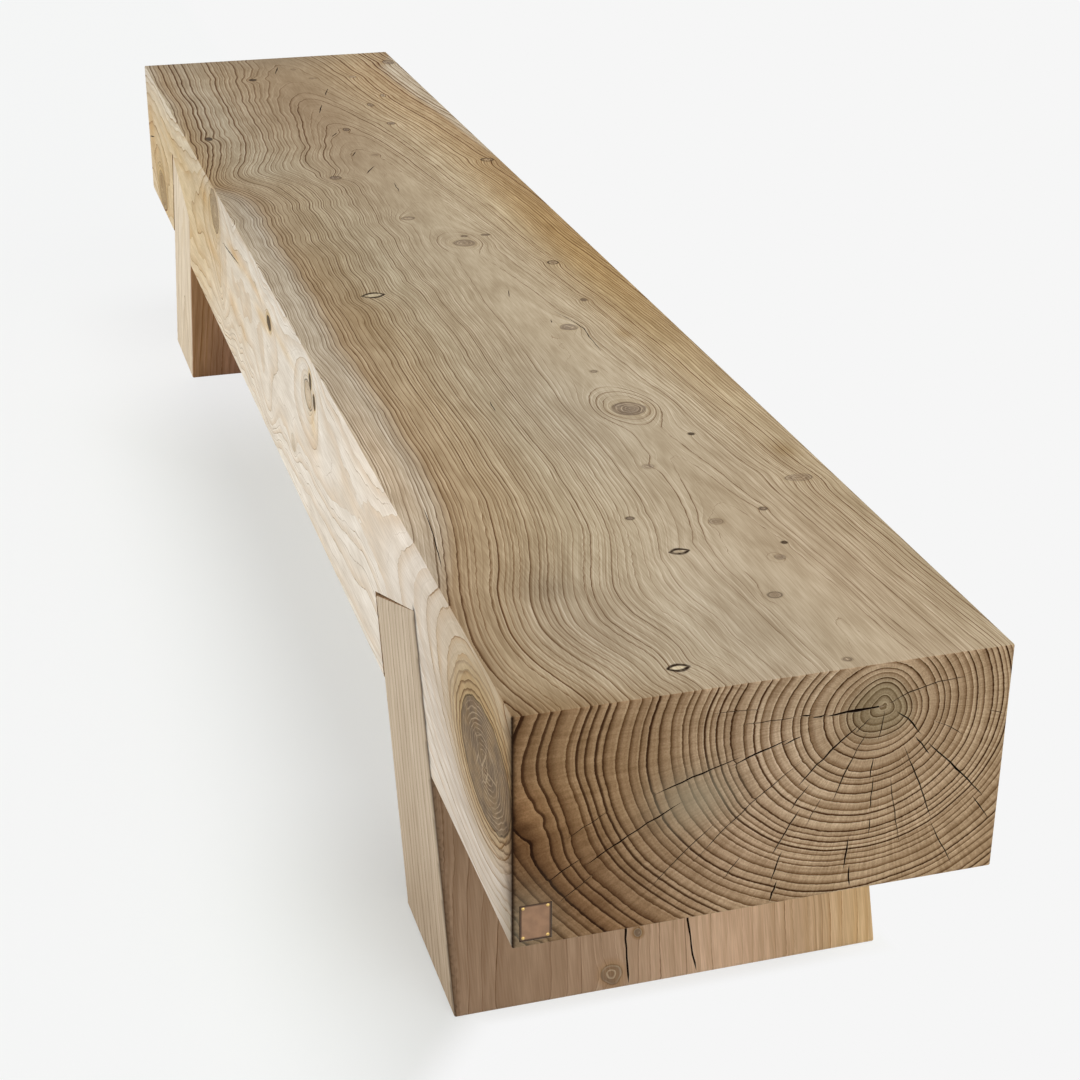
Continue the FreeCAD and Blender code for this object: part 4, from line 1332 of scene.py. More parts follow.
# path up the leg and across on the outer face, and width
LEG_SPLITS = {"near_leg": [([(3.2, -43), (57, -42), (130, -45), (300, -47)], 2.2),
                           ([(3.2, 27.5), (30, 25), (57, 23.6), (120, 22), (280, 17)], 2.0)],
              "far_leg": [([(3.2, -20), (80, -17), (260, -12)], 1.6)]}
LEG_FOOT = LEG_PROFILE[1]
LEG_SPLIT_DEPTH, LEG_SPLIT_SEED = 5.0, 800


def leg_place(points):
    """Up the leg from the foot's outer edge, across, and in from the outer face, in mm."""
    side = points[:, [0, 2]] - LEG_FOOT
    return np.stack([side @ LEG_UP, points[:, 1], side @ LEG_IN], 1)


def leg_years(name, local):
    """The year that each point of a leg grew in, and its age against the sapwood's edge."""
    up, across, deep = local.T
    heart_across, heart_deep, drift = LEG_HEARTS[name]
    off_across = across - heart_across - drift * up
    radius = np.hypot(off_across, deep - heart_deep)
    for number, (amount, wavelengths) in enumerate(LEG_WANDER):
        radius += amount * ripple(local, wavelengths, LEG_SEEDS[name] + number)
    for up_at, across_at, _, _, lift, reach, _, _ in LEG_KNOTS[name]:
        radius -= lift * np.exp(-(np.hypot(up - up_at, across - across_at) / reach) ** 2)
    return count_rings(radius, LEG_RINGS[name]), radius / LEG_SAP_RADIUS[name]


print("legs from the foot's outer edge at", LEG_FOOT.round(1))

# %% [markdown]
# ## The legs' skins
# A leg has six faces. The outer one carries the knots and the splits, which start at the foot and
# close upwards; the crown has the holes for the dowels.

# %% The legs' skins
LEG_STEP = 6.0
LEG_WINDOWS = {"outer": (0.01, 0.51, 0.48, 0.48), "inner": (0.51, 0.51, 0.48, 0.48),
               "left": (0.01, 0.11, 0.32, 0.38), "right": (0.35, 0.11, 0.32, 0.38),
               "sole": (0.68, 0.11, 0.30, 0.38), "crown": (0.01, 0.01, 0.40, 0.08),
               "bore": (0.45, 0.01, 0.08, 0.08)}
FACE_SPACING, EDGE_SPACING, HIDDEN_SPACING = 6.0, 8.0, 16.0


def leg_skin(name):
    skin = Skin()
    inner_foot, outer_foot, outer_top, inner_top = LEG_PROFILE
    y = HALF_WIDTH
    steps, eased = (LEG_STEP, LEG_STEP), {"arris": LEG_ARRIS}
    up = np.array([LEG_UP[0], 0.0, LEG_UP[1]])
    marks = [knot_points((row[1], row[0]), row[3], row[2]) for row in LEG_KNOTS[name]]
    lines = [split(np.asarray(path)[:, ::-1], width, LEG_SPLIT_DEPTH, LEG_SPLIT_SEED + i, blunt=True)
             for i, (path, width) in enumerate(LEG_SPLITS[name])]
    features = [clear_of(mark, lines) for mark in marks] + lines
    outer = np.linalg.norm(outer_top - outer_foot)
    inner = np.linalg.norm(inner_top - inner_foot)
    for foot, across, length, window, spacing, marked in (
            (outer_foot, 1, outer, "outer", FACE_SPACING, features),
            (inner_foot, -1, inner, "inner", EDGE_SPACING, ())):
        skin.sheet((foot[0], 0, 0), (0, across, 0), up, LEG_WINDOWS[window],
                   rectangle(-y, 0, y, length), steps, spacing, features=marked, **eased)
    skin.sheet((0, -y, 0), (1, 0, 0), (0, 0, 1), LEG_WINDOWS["left"], LEG_PROFILE, steps,
               EDGE_SPACING, **eased)
    skin.sheet((0, y, 0), (-1, 0, 0), (0, 0, 1), LEG_WINDOWS["right"],
               (LEG_PROFILE * MIRROR)[::-1], steps, EDGE_SPACING, **eased)
    sole = rectangle(inner_foot[0], -y, outer_foot[0], y)
    skin.sheet((0, 0, 0), (1, 0, 0), (0, -1, 0), LEG_WINDOWS["sole"], sole, steps,
               HIDDEN_SPACING, **eased)
    add_crown(skin, inner_top, outer_top, steps)
    return skin.weld()


def add_crown(skin, inner_top, outer_top, steps):
    """The leg's top face with its three dowel holes."""
    y = HALF_WIDTH
    length = np.linalg.norm(outer_top - inner_top)
    run = np.array([outer_top[0] - inner_top[0], 0.0, outer_top[1] - inner_top[1]]) / length
    middle = length - LEG_THICKNESS / 2
    holes = [circle((middle, across), DOWEL_BORE, BORE_SIDES) for across in DOWEL_PLACES]
    origin = np.array([inner_top[0], 0.0, inner_top[1]])
    skin.sheet(origin, run, (0, 1, 0), LEG_WINDOWS["crown"],
               rectangle(0, -y, length, y), steps, HIDDEN_SPACING, arris=LEG_ARRIS, holes=holes)
    upwards = np.array([LEG_UP[0], 0.0, LEG_UP[1]])
    for hole in holes:
        rim = origin + np.outer(hole[:, 0], run) + np.outer(hole[:, 1], (0, 1, 0))
        skin.bore(rim, -upwards * DOWEL_DEPTH, LEG_WINDOWS["bore"])


leg_meshes = {name: leg_skin(name) for name in LEG_RINGS}
print("legs' skins:", {name: len(mesh[0]) for name, mesh in leg_meshes.items()}, "points")

# %% [markdown]
# ## Tints of the legs
# The near leg is darker by painted shade at the top and the foot of its left edge, and lighter by
# painted light down the middle of its outer face, whose left is darker by painted shade. The inner face
# of the far leg is darker by painted shade, as under the bench, and a little redder, as heartwood.

# %% The legs
# how the legs' painted shade darkens and their painted light brightens, in red, green and blue
PAINTED_SHADE_TINT = (0.95, 1.1, 1.25)
# the far leg's inner face: painted shade of the space under the bench, a little redder as heartwood
UNDER_BENCH_SHADE_TINT = (0.73, 0.60, 0.57)
EDGE_LINE = 0.7
# depths in mm between which a point stops counting as on a face, and on the far leg's inner one
FACE_SKIN, INNER_SKIN = (6, 1), (5, 1)
# painted shade at the top and the foot of the left edge, and the heights between which each grows
TOP_PAINTED_SHADE, FOOT_PAINTED_SHADE, TOP_HEIGHTS, FOOT_HEIGHTS = 0.07, 0.27, (150, 300), (330, 20)
# painted light down the middle: how much, its place and reach across; how much painted shade on the left
PAINTED_LIGHT, PALE_PLACE, PALE_REACH, LEFT_DARKER, DARKER_SPAN = 0.50, 30, 60, 0.1, (-80, -200)


def leg_light_and_shade(name, local):
    """Tint of each point: redder painted shade on the far leg's inner face, painted light and shade on the
    near one.
    """
    up, across, deep = local.T
    if name == "far_leg":
        inner = soft(*(LEG_THICKNESS - depth for depth in INNER_SKIN), deep)
        return 1 - np.outer(inner, 1 - np.asarray(UNDER_BENCH_SHADE_TINT))
    painted_shade = TOP_PAINTED_SHADE * soft(*TOP_HEIGHTS, up) + FOOT_PAINTED_SHADE * soft(*FOOT_HEIGHTS, up)
    painted_shade *= soft(*(HALF_WIDTH - depth for depth in FACE_SKIN), -across)
    pale = PAINTED_LIGHT * np.exp(-((across - PALE_PLACE) / PALE_REACH) ** 2)
    pale -= LEFT_DARKER * soft(*DARKER_SPAN, across)
    painted_shade -= soft(*FACE_SKIN, deep) * pale
    return 1 - np.outer(painted_shade, PAINTED_SHADE_TINT)


def make_leg(name):
    points, sunk, faces, maps = leg_meshes[name]
    points = ease(points, LEG_PROFILE, HALF_WIDTH, LEG_ARRIS)
    local = leg_place(points)
    years, age = leg_years(name, local)
    knots = [((row[0], row[1], 0.0), row[2], row[3], *row[4:]) for row in LEG_KNOTS[name]]
    knots = knot_map(local, knots)
    plain = np.zeros(len(points))
    corner = np.hypot(local[:, 1] + HALF_WIDTH, local[:, 2])
    dark = EDGE_LINE * np.exp(-(corner / DARK_ARRIS) ** DARK_FALL)
    marks = np.stack([crack_share(sunk), plain, dark], 1)
    attributes = {"year": years, "age": age, "knot": knots[:, :3], "knot_radius": knots[:, 3],
                  "mark": marks, "grain": local * MM, "shade": leg_light_and_shade(name, local),
                  "bold": plain + 1.0, "extra": plain + 1.0,
                  "pitch": ring_pitch(local, faces, lambda spots: leg_years(name, spots)[0])}
    if name == "far_leg":
        points = points * [-1.0, -1.0, 1.0]
    piece = make_piece(name + "_slab", points, faces, maps, attributes)
    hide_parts(name)
    return piece


legs = [make_leg(name) for name in leg_meshes]
print("legs:", [leg.name for leg in legs])

# %% [markdown]
# ## What a ring looks like
# Three shader groups hold what every wooden surface here shares. The first turns a year into the
# parts of one ring: pale wood that grew in spring, a slow darkening, and the thin dark line of
# autumn, with a painted highlight just after it, as where a raised ridge catches the light. White
# noise on the whole number of the year gives each ring its own character, and the long faces of the
# log draw a second, weaker line within each year. The widths are in millimetres, so where a cut runs
# flat along a ring, the line stays thin; the mesh says how wide a ring shows there.

# %% Ring group
# width of the dark line on long faces and on the end, in mm, and reach of the late wood in line widths
FLAT_LINE, END_LINE, LATE_REACH = 1.2, 1.9, 2.4
# a ring's luck gives its line a width and a strength between these
LINE_WIDTHS, LUCK_SPAN, LINE_STRENGTHS = (0.6, 1.3), (0.05, 0.95), (0.15, 1.15)
# where the line and the painted highlight at the start of a ring end, in line widths, and when growth slows,
# in years
LINE_FADE, HIGHLIGHT_FADE, SLOWING = (0.45, 1.0), (0.3, 1.3), (0.4, 1.0)


def make_ring_group():
    group, given, made = new_group(
        "Annual ring", {name: "Float" for name in ("Year", "Pitch", "Width", "Extra")},
        {name: "Float" for name in ("Growth", "Late", "Line", "Painted highlight")})
    share = maths(group, "FRACT", given["Year"])
    number = maths(group, "FLOOR", given["Year"])
    luck = chance(group, number)
    width = product(group, step(group, luck, 0.0, 1.0, *LINE_WIDTHS), given["Width"])
    since = product(group, share, given["Pitch"])
    until = maths(group, "DIVIDE", maths(group, "SUBTRACT", given["Pitch"], since), width)
    between = rest(group, maths(group, "MODULO", number, 2.0))
    weight = rest(group, product(group, between, rest(group, given["Extra"])))
    strength = product(group, step(group, luck, *LUCK_SPAN, *LINE_STRENGTHS), weight)
    line = product(group, step(group, until, *LINE_FADE, 1.0, 0.0), strength)
    late = product(group, step(group, until, 0.0, LATE_REACH, 1.0, 0.0), weight)
    group.links.new(late, made["Late"])
    group.links.new(line, made["Line"])
    group.links.new(step(group, maths(group, "DIVIDE", since, width), *HIGHLIGHT_FADE, 1.0, 0.0), made["Painted highlight"])
    group.links.new(step(group, share, *SLOWING), made["Growth"])
    return group


RING = make_ring_group()
print(RING.name, "gives", [item.name for item in RING.interface.items_tree])

# %% [markdown]
# ## Fibres
# Wood is a bundle of long tubes. Noise stretched along the grain draws them at several scales: a
# drift that makes ring lines tremble, fine streaks, and broad and small patches. Veins are
# noise too, but measured in years and along the log, so they run between the ring lines with them.
# Rays are noise over the direction from the heart: fine pale spokes that show on the end grain.

# %% Fibre group
# scale along and across the grain, in waves a metre, and detail of each noise
FIBRES = {"Drift": ((12, 160, 160), 3.0), "Streak": ((26, 640, 640), 2.0), "Tone": ((1.7, 8, 8), 2.0),
          "Mottle": ((14, 45, 45), 3.0)}
VEIN_STRETCH, RAY_STRETCH, FINE_DETAIL = (3.0, 7.0, 4.0), (70.0, 70.0, 22.0), 3.0
# veins fade where a ring shows this wide, in mm, down to this share
VEIN_FADE, VEIN_LEFT = (8.0, 18.0), 0.35


def stretched_noise(group, vector, stretch, detail):
    return noise(group, scaled(group, vector, stretch), 1.0, detail)


def make_fibre_group():
    outputs = {name: "Float" for name in (*FIBRES, "Vein", "Ray")}
    inputs = {"Grain": "Vector", "Ray": "Vector", "Year": "Float", "Pitch": "Float"}
    group, given, made = new_group("Fibre", inputs, outputs)
    for name, (stretch, detail) in FIBRES.items():
        group.links.new(stretched_noise(group, given["Grain"], stretch, detail), made[name])
    along, across, _ = axes(group, given["Grain"])
    by_year = add(group, "ShaderNodeCombineXYZ", {0: given["Year"], 1: along, 2: across}).outputs[0]
    vein = maths(group, "SUBTRACT", stretched_noise(group, by_year, VEIN_STRETCH, FINE_DETAIL), 0.5)
    vein = product(group, vein, step(group, given["Pitch"], *VEIN_FADE, 1.0, VEIN_LEFT))
    group.links.new(maths(group, "ADD", vein, 0.5), made["Vein"])
    group.links.new(stretched_noise(group, given["Ray"], RAY_STRETCH, FINE_DETAIL), made["Ray"])
    return group


FIBRE = make_fibre_group()
print(FIBRE.name, "has", len(FIBRE.nodes), "nodes")

# %% [markdown]
# ## Knots
# A knot is a limb cut across. It has rings of its own, a core that can be dark and dead, a rim of
# bark that can be black, and a halo where the wood round it is stained with resin. The distance
# from the knot's middle, in units of its radius, is stored on the mesh; a little noise keeps it
# from being a perfect ellipse. Fine cracks run through the core: the walls between Voronoi cells.
# Collar rings run round a knot in the wood beside it, and lens-shaped knots have a pale middle.

# %% Knot group
# in mm: width of the knot's and the collar's rings, sway of the outline, reach of a rim and a lens's
KNOT_RING, COLLAR_RING, KNOT_WOBBLE, RIM_REACH, LENS_REACH = 5.0, 9.0, 1.8, 1.8, 5.0
LENS_STEP = (LENS_RIM - 0.05, LENS_RIM)
# in radii of the knot: where its body, its halo and its cracks end, and the most that its outline sways
BODY_EDGE, HALO_EDGE, CRACK_EDGE, MOST_SWAY = (0.96, 1.03), (1.0, 1.9), (0.3, 0.6), 0.2
# a core darker than this is dead
DEAD_CORE = (0.9, 0.95)
# scales of the noises for outline, rim and core, and of the cells between the cracks
WOBBLE_SCALE, RIM_SCALE, BLOTCH_SCALE, CELL_SCALE = 45.0, 180.0, 60.0, 42.0
KNOT_PARTS = ("Body", "Dark", "Rim", "Halo", "Line", "Around", "Crack", "Dead", "Lens")


def make_knot_group():
    group, given, made = new_group("Knot", {"Knot": "Vector", "Grain": "Vector", "Radius": "Float"},
                                   {name: "Float" for name in KNOT_PARTS})
    distance, rimmed, cored = axes(group, given["Knot"])
    grain, radius = given["Grain"], given["Radius"]
    wobble = noise(group, grain, WOBBLE_SCALE, 2.0)
    most = maths(group, "MINIMUM", maths(group, "DIVIDE", KNOT_WOBBLE, radius), MOST_SWAY)
    size = maths(group, "ADD", distance, product(group, step(group, wobble, 0.2, 0.8, -1.0, 1.0), most))
    body = step(group, size, *BODY_EDGE, 1.0, 0.0)
    off_rim = product(group, maths(group, "ABSOLUTE", maths(group, "SUBTRACT", size, 1.0)), radius)
    reach = step(group, rimmed, *LENS_STEP, RIM_REACH, LENS_REACH)
    uneven = step(group, noise(group, grain, RIM_SCALE, 1.0), 0.3, 0.5, 0.7, 1.0)
    rim = step(group, maths(group, "DIVIDE", off_rim, reach), 0.25, 1.0, 1.0, 0.0)
    rim = product(group, rim, rimmed, uneven)
    halo = product(group, step(group, size, *HALO_EDGE, 1.0, 0.0), cored)
    off_middle = product(group, size, radius)
    collar = maths(group, "DIVIDE", off_middle, COLLAR_RING)
    luck = chance(group, maths(group, "FLOOR", collar))
    around = product(group, step(group, maths(group, "FRACT", collar), 0.5, 0.95), halo,
                     step(group, luck, 0.0, 1.0, 0.2, 1.0), rest(group, body))
    alive = product(group, body, step(group, cored, *DEAD_CORE, 1.0, 0.0))
    years = maths(group, "FRACT", maths(group, "DIVIDE", off_middle, KNOT_RING))
    line = product(group, step(group, years, 0.6, 0.95), step(group, wobble, 0.3, 0.6, 0.3, 1.0), alive)
    cells = add(group, "ShaderNodeTexVoronoi", {"Vector": grain, "Scale": CELL_SCALE},
                feature="DISTANCE_TO_EDGE")
    wall = step(group, cells.outputs["Distance"], 0.01, 0.05, 1.0, 0.0)
    crack = product(group, wall, alive, step(group, size, *CRACK_EDGE, 1.0, 0.0))
    blotch = step(group, noise(group, grain, BLOTCH_SCALE, 4.0), 0.35, 0.65, 0.78, 1.2)
    dark = product(group, body, cored, blotch)
    dead = maths(group, "SUBTRACT", body, alive)
    lens = product(group, step(group, rimmed, *LENS_STEP), body, step(group, cored, 0.05, 0.25, 0.85, 0.2))
    for name, value in zip(KNOT_PARTS, (body, dark, rim, halo, line, around, crack, dead, lens)):
        group.links.new(value, made[name])
    return group


KNOT = make_knot_group()
print(KNOT.name, "has", len(KNOT.nodes), "nodes")

# %% [markdown]
# ## Colours of the wood
# The colours of one cut are three ramps over age, from the heart to the sapwood: one for spring
# wood, one for autumn wood and one for the line. A log shows three cuts that differ in colour: the
# worn seat is grey, the sides are fresh and pale, and end grain drinks oil and goes dark.

# %% Wood colours
AGE_SPAN = 1.6
# for each cut: ages against the sapwood's edge, and the colours of spring, autumn and line there
LOG_CUTS = {
    "seat": {"ages": (0.30, 0.55, 0.73, 0.92, 0.99),
             "early": ((189, 171, 143), (187, 169, 139), (181, 159, 126), (173, 148, 115), (192, 176, 153)),
             "late": ((170, 149, 120), (165, 142, 111), (150, 122, 88), (137, 107, 75), (174, 157, 133)),
             "line": ((126, 101, 74), (116, 89, 62), (98, 69, 43), (90, 62, 38), (130, 110, 87))},
    "side": {"ages": (0.30, 0.60, 0.78, 0.94, 1.02),
             "early": ((214, 190, 154), (218, 194, 158), (222, 202, 170), (233, 217, 196), (239, 227, 213)),
             "late": ((188, 153, 112), (192, 159, 119), (200, 168, 126), (212, 184, 149), (221, 199, 173)),
             "line": ((124, 90, 56), (132, 96, 60), (142, 104, 64), (152, 116, 74), (164, 134, 98))},
    "end": {"ages": (0.06, 0.12, 0.72, 0.93, 1.02),
            "early": ((160, 141, 110), (188, 161, 129), (182, 152, 118), (166, 130, 94), (176, 145, 110)),
            "late": ((118, 96, 67), (126, 94, 62), (112, 79, 48), (94, 62, 35), (112, 80, 50)),
            "line": ((84, 62, 40), (80, 53, 31), (76, 49, 28), (64, 40, 22), (78, 52, 31))},
}
LEG_AGES = (0.20, 0.52, 0.68, 0.90, 1.02)
LEG_CUTS = {
    "side": {"ages": LEG_AGES,
             "early": ((177, 148, 122), (181, 151, 125), (208, 175, 146), (206, 174, 138), (206, 174, 132)),
             "late": ((166, 136, 110), (169, 138, 112), (190, 155, 124), (188, 152, 112), (186, 149, 102)),
             "line": ((130, 100, 76), (133, 103, 79), (152, 115, 86), (152, 112, 74), (152, 110, 66))},
    "edge": {"ages": LEG_AGES,
             "early": ((207, 188, 166), (208, 189, 166), (210, 191, 168), (216, 198, 173), (230, 212, 188)),
             "late": ((178, 156, 129), (179, 157, 130), (182, 159, 131), (195, 173, 143), (213, 191, 159)),
             "line": ((132, 106, 80), (134, 107, 81), (137, 110, 82), (152, 124, 92), (176, 148, 111))},
    "end": {"ages": LEG_AGES, "early": ((170, 140, 108),) * 5,
            "late": ((135, 100, 70),) * 5, "line": ((84, 58, 36),) * 5},
}
KNOT_PALE, KNOT_DARK, KNOT_LINE = srgb(210, 190, 158), srgb(118, 102, 88), srgb(208, 188, 160)
LENS_COLOUR = srgb(226, 208, 172)
RIM_COLOUR, HALO_COLOUR, AROUND_COLOUR = srgb(44, 28, 16), srgb(238, 221, 180), srgb(116, 83, 48)
SPLIT_COLOUR, STAIN_COLOUR, ARRIS_AND_JOINT_SHADOW_COLOUR = srgb(36, 22, 12), srgb(158, 146, 122), srgb(36, 21, 10)
print("cuts of the log:", list(LOG_CUTS), "and of the legs:", list(LEG_CUTS))

# %% [markdown]
# ## Layers of the wood
# A cut starts with its spring wood, darkens towards autumn and ends with the line, with a painted
# highlight after it. Knots lie over that, then fibres and tints with painted light and shade, and stains,
# dark edges, painted joint shadow and splits come last. One shader could do it in one go; as layers,
# each can be read and tried by itself.

# %% Wood layers
# names of the fibre effects with the brightness they give at their darkest and lightest
SHADING = {"Tone": (0.92, 1.07), "Streak": (0.86, 1.14), "Mottle": (0.89, 1.11), "Vein": (0.80, 1.18)}
FRESH_SHARE = 0.8
RAY_SHADING = (0.86, 1.14)
# values of the noise that count as its darkest and lightest
FIBRE_STEP, RAY_STEP = (0.25, 0.75), (0.3, 0.7)
# dark fibres are warm: powers of the shading for red and blue, against green
WARM_RED, WARM_BLUE = 0.85, 1.2
STAIN_SHARE, SPLIT_STEP = 0.7, (0.5, 0.54)
HALO_SHARE, AROUND_SHARE, PALE_BODY, BODY_SHARE = 0.8, 1.5, 0.3, 0.9
DEAD_SHARE, KNOT_LINE_SHARE = 0.8, 0.85
WHITE = (1, 1, 1, 1)


def ramp(tree, age, ages, colours):
    """Colours along the age, from the core of the heart to the sapwood."""
    node = add(tree, "ShaderNodeValToRGB", {"Fac": age})
    stops = node.color_ramp.elements
    stops.remove(stops[1])
    for number, (at, colour) in enumerate(zip(ages, colours)):
        stop = stops[0] if number == 0 else stops.new(at / AGE_SPAN)
        stop.position = at / AGE_SPAN
        stop.color = srgb(*colour)
    return node.outputs["Color"]


def attribute(tree, name):
    return add(tree, "ShaderNodeAttribute", attribute_name=name).outputs


def cut_colour(tree, age, ring, colours, late, line_share, highlight_share):
    """One cut: spring wood, autumn wood and the line, with a painted highlight at the start of each ring."""
    ages = colours["ages"]
    spring, autumn, line = (ramp(tree, age, ages, colours[part]) for part in ("early", "late", "line"))
    colour = mix(tree, late, spring, autumn)
    colour = mix(tree, product(tree, ring["Line"], line_share), colour, line)
    return mix(tree, product(tree, ring["Painted highlight"], highlight_share), colour, WHITE, "SOFT_LIGHT")


def add_knots(tree, colour, knot, resin):
    """Lays knots over a colour; resin is how much of the halo and the collar shows."""
    stained = product(tree, knot["Halo"], resin, HALO_SHARE)
    colour = mix(tree, stained, colour, HALO_COLOUR, "MULTIPLY")
    around = product(tree, knot["Around"], resin)
    colour = mix(tree, maths(tree, "MULTIPLY", around, AROUND_SHARE, clamp=True), colour, AROUND_COLOUR)
    body = mix(tree, PALE_BODY, colour, KNOT_PALE, "MULTIPLY")
    body = mix(tree, knot["Dark"], body, KNOT_DARK)
    body = mix(tree, product(tree, knot["Dead"], DEAD_SHARE), body, RIM_COLOUR)
    for part in ("Line", "Crack"):
        body = mix(tree, product(tree, knot[part], KNOT_LINE_SHARE), body, KNOT_LINE)
    body = mix(tree, knot["Lens"], body, LENS_COLOUR)
    colour = mix(tree, product(tree, knot["Body"], BODY_SHARE), colour, body)
    return mix(tree, knot["Rim"], colour, RIM_COLOUR)


def add_weather(tree, colour, fibre, worn, end):
    """Fibres show most on worn wood, rays on the end; tints with painted shade, stains and splits on top."""
    split_mark, stain, dark = axes(tree, attribute(tree, "mark")["Vector"])
    shade = product(tree, step(tree, fibre["Ray"], *RAY_STEP, *RAY_SHADING), end)
    shade = maths(tree, "ADD", shade, rest(tree, end))
    for name, (darkest, lightest) in SHADING.items():
        shade = product(tree, shade, step(tree, fibre[name], *FIBRE_STEP, darkest, lightest))
    share = step(tree, worn, 0.0, 1.0, FRESH_SHARE, 1.0)
    shade = maths(tree, "ADD", product(tree, maths(tree, "SUBTRACT", shade, 1.0), share), 1.0)
    warm = add(tree, "ShaderNodeCombineXYZ", {0: maths(tree, "POWER", shade, WARM_RED), 1: shade,
                                              2: maths(tree, "POWER", shade, WARM_BLUE)}).outputs[0]
    colour = scaled(tree, colour, scaled(tree, attribute(tree, "shade")["Vector"], warm))
    colour = mix(tree, product(tree, stain, STAIN_SHARE), colour, STAIN_COLOUR)
    # dark lines down the arrises, and painted shadow along the near joint's gap
    colour = mix(tree, dark, colour, ARRIS_AND_JOINT_SHADOW_COLOUR)
    return mix(tree, step(tree, split_mark, *SPLIT_STEP), colour, SPLIT_COLOUR)


print("layers:", list(SHADING), "then stains, dark edges and splits")

# %% [markdown]
# ## Wood
# The direction of the surface tells which cut a point belongs to. The long faces of the log draw two
# lines a year, the second one weaker; the end draws one. Autumn wood stands up a little on worn end
# grain, and the fibres roughen every face.

# %% Wood material
# how much a surface must face a way, from not at all to fully, to count as that cut
FACING = (0.55, 0.85)
# how far the fibres' drift makes a line tremble, in years
TREMBLE = 0.16
# how strong the painted highlight at the start of a ring is on each cut
PAINTED_HIGHLIGHT = {"side": 0.1, "edge": 0.2, "seat": 0.3, "end": 0.35}
# strength of lines on the legs' edges, of autumn wood on the end, and of resin round knots on top
EDGE_DRAWN, END_GROWN, TOP_RESIN = 0.9, 0.9, 0.25
# soft steps over the mottle, as two values and the strengths there: lines and autumn wood on the
# sides, and lines on the seat
SIDE_DRAWN, SIDE_GROWN = (0.35, 0.65, 0.3, 0.85), (0.3, 0.7, 0.35, 0.8)
SEAT_DRAWN = (0.3, 0.6, 0.55, 1.0)
# height of the ridges on long faces and on the end, and of the fibres, as shares of the relief
RIDGES, FIBRE_RELIEF, RELIEF_STRENGTH, RELIEF_HEIGHT = (0.1, 0.8), 0.35, 0.5, 0.0012
WOOD_ROUGHNESS, WOOD_SHINE = 0.7, 0.04


def make_wood(name, cuts, end_axis, finer):
    """Wood for one tree; finer is how many lines a year draws on the long faces."""
    material, tree, surface = new_material(name)
    year, pitch, bold, extra, age, radius = (
        attribute(tree, label)["Fac"] for label in ("year", "pitch", "bold", "extra", "age", "knot_radius"))
    grain, ray, near_knot = (attribute(tree, label)["Vector"] for label in ("grain", "ray", "knot"))
    fibre = place(tree, FIBRE, Grain=grain, Year=year, Ray=ray, Pitch=pitch)
    knot = place(tree, KNOT, Knot=near_knot, Grain=grain, Radius=radius)
    year = maths(tree, "ADD", year, product(tree, maths(tree, "SUBTRACT", fibre["Drift"], 0.5), TREMBLE))
    ring = place(tree, RING, Width=product(tree, bold, FLAT_LINE), Extra=extra,
                 Year=product(tree, year, finer), Pitch=maths(tree, "DIVIDE", pitch, finer))
    end_ring = place(tree, RING, Width=product(tree, bold, END_LINE), Extra=1.0, Year=year, Pitch=pitch)
    age = maths(tree, "DIVIDE", age, AGE_SPAN)
    facing = axes(tree, add(tree, "ShaderNodeTexCoord").outputs["Normal"])
    end = step(tree, maths(tree, "ABSOLUTE", facing[end_axis]), *FACING)
    top = step(tree, facing["Z"], *FACING)
    drawn = step(tree, fibre["Mottle"], *SIDE_DRAWN)
    slow = product(tree, end_ring["Growth"], step(tree, fibre["Mottle"], *SIDE_GROWN))
    colour = cut_colour(tree, age, ring, cuts["side"], slow, drawn, PAINTED_HIGHLIGHT["side"])
    if "edge" in cuts:
        edge = step(tree, maths(tree, "ABSOLUTE", facing["Y"]), *FACING)
        edge_colour = cut_colour(tree, age, ring, cuts["edge"], slow, EDGE_DRAWN, PAINTED_HIGHLIGHT["edge"])
        colour = mix(tree, edge, colour, edge_colour)
    if "seat" in cuts:
        drawn = step(tree, product(tree, fibre["Mottle"], bold), *SEAT_DRAWN)
        seat_colour = cut_colour(tree, age, ring, cuts["seat"], ring["Late"], drawn, PAINTED_HIGHLIGHT["seat"])
        colour = mix(tree, top, colour, seat_colour)
    grown = product(tree, end_ring["Growth"], END_GROWN)
    colour = mix(tree, end, colour, cut_colour(tree, age, end_ring, cuts["end"], grown, 1.0, PAINTED_HIGHLIGHT["end"]))
    colour = add_knots(tree, colour, knot, step(tree, top, 0.0, 1.0, 1.0, TOP_RESIN))
    colour = add_weather(tree, colour, fibre, maths(tree, "MAXIMUM", end, top), end)
    tree.links.new(colour, surface.inputs["Base Color"])
    ridge = product(tree, end_ring["Growth"], step(tree, end, 0.0, 1.0, *RIDGES))
    relief = maths(tree, "ADD", ridge, product(tree, fibre["Streak"], FIBRE_RELIEF))
    dent = add(tree, "ShaderNodeBump", {"Height": relief, "Strength": RELIEF_STRENGTH,
                                        "Distance": RELIEF_HEIGHT})
    tree.links.new(dent.outputs["Normal"], surface.inputs["Normal"])
    surface.inputs["Roughness"].default_value = WOOD_ROUGHNESS
    surface.inputs["Specular IOR Level"].default_value = WOOD_SHINE
    return material


log_wood = make_wood("log wood", LOG_CUTS, "X", 2.0)
leg_wood = make_wood("leg wood", LEG_CUTS, "Z", 1.0)
beam.data.materials.append(log_wood)
for leg in legs:
    leg.data.materials.append(leg_wood)
print("wood on", beam.name, [leg.name for leg in legs])

# %% [markdown]
# ## Dowels, plate and pins
# Their shapes are plain, so they come straight from the frame and only need a finish. The dowels
# are turned wood, hidden in the joint. The plate is thin copper gone dull, with painted shade along
# its rim, and its face is bare. Four small brass pins hold it.

# %% Small parts
# colour of the painted shade along the plate's rim, as in the gap round it
PLATE_RIM_SHADE = srgb(62, 42, 28)
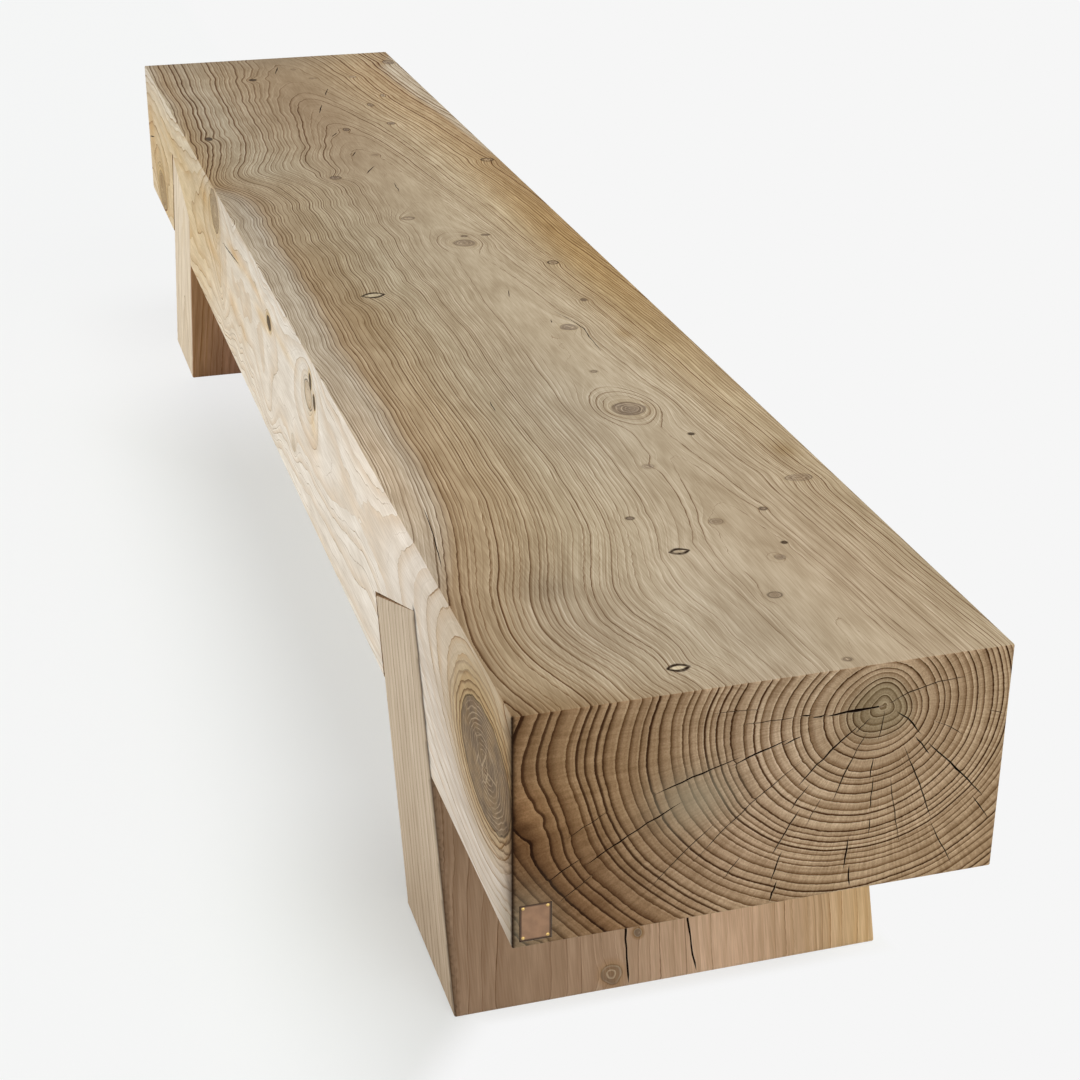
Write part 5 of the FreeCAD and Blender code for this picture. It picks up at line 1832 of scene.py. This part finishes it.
# distance from the plate's edge over which the painted shade ends, in metres, and its share at the edge
RIM_SHADE_EDGE, RIM_SHADE_SHARE = (0.0008, 0.0022), 0.85
COPPER_SCALE, BRASS_SCALE = 120.0, 900.0


def dowel_colour(tree, spot):
    fibre = place(tree, FIBRE, Grain=spot)
    return mix(tree, fibre["Streak"], srgb(226, 194, 150), srgb(196, 158, 110))


def copper_colour(tree, spot):
    cloud = noise(tree, spot, COPPER_SCALE, 4.0)
    colour = mix(tree, step(tree, cloud, 0.3, 0.7), srgb(166, 128, 98), srgb(150, 115, 88))
    low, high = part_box("plate")
    sides = axes(tree, spot)
    nearest = 1.0
    for axis in (1, 2):
        off_middle = maths(tree, "SUBTRACT", sides[axis], 0.5 * (low[axis] + high[axis]))
        inset = maths(tree, "SUBTRACT", 0.5 * (high[axis] - low[axis]), maths(tree, "ABSOLUTE", off_middle))
        nearest = maths(tree, "MINIMUM", inset, nearest)
    # the rim gets painted shade
    return mix(tree, step(tree, nearest, *RIM_SHADE_EDGE, RIM_SHADE_SHARE, 0.0), colour, PLATE_RIM_SHADE)


def brass_colour(tree, spot):
    return mix(tree, noise(tree, spot, BRASS_SCALE, 2.0), srgb(226, 196, 130), srgb(196, 160, 92))


def make_plain(name, colour_at, metallic, roughness):
    """A material whose colour is worked out from the place on the object."""
    material, tree, surface = new_material(name)
    spot = add(tree, "ShaderNodeTexCoord").outputs["Object"]
    tree.links.new(colour_at(tree, spot), surface.inputs["Base Color"])
    surface.inputs["Metallic"].default_value = metallic
    surface.inputs["Roughness"].default_value = roughness
    return material


def dress_nodes(material, names):
    for name in names:
        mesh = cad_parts[name].data
        mesh.materials.clear()
        mesh.materials.append(material)


dowels = [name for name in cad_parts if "dowel" in name]
dress_nodes(make_plain("dowel wood", dowel_colour, 0.0, 0.6), dowels)
dress_nodes(make_plain("dull copper", copper_colour, 0.35, 0.55), ["plate"])
dress_nodes(make_plain("brass", brass_colour, 1.0, 0.28), ["plate_pins"])
print("dressed", dowels, "plate, plate_pins")
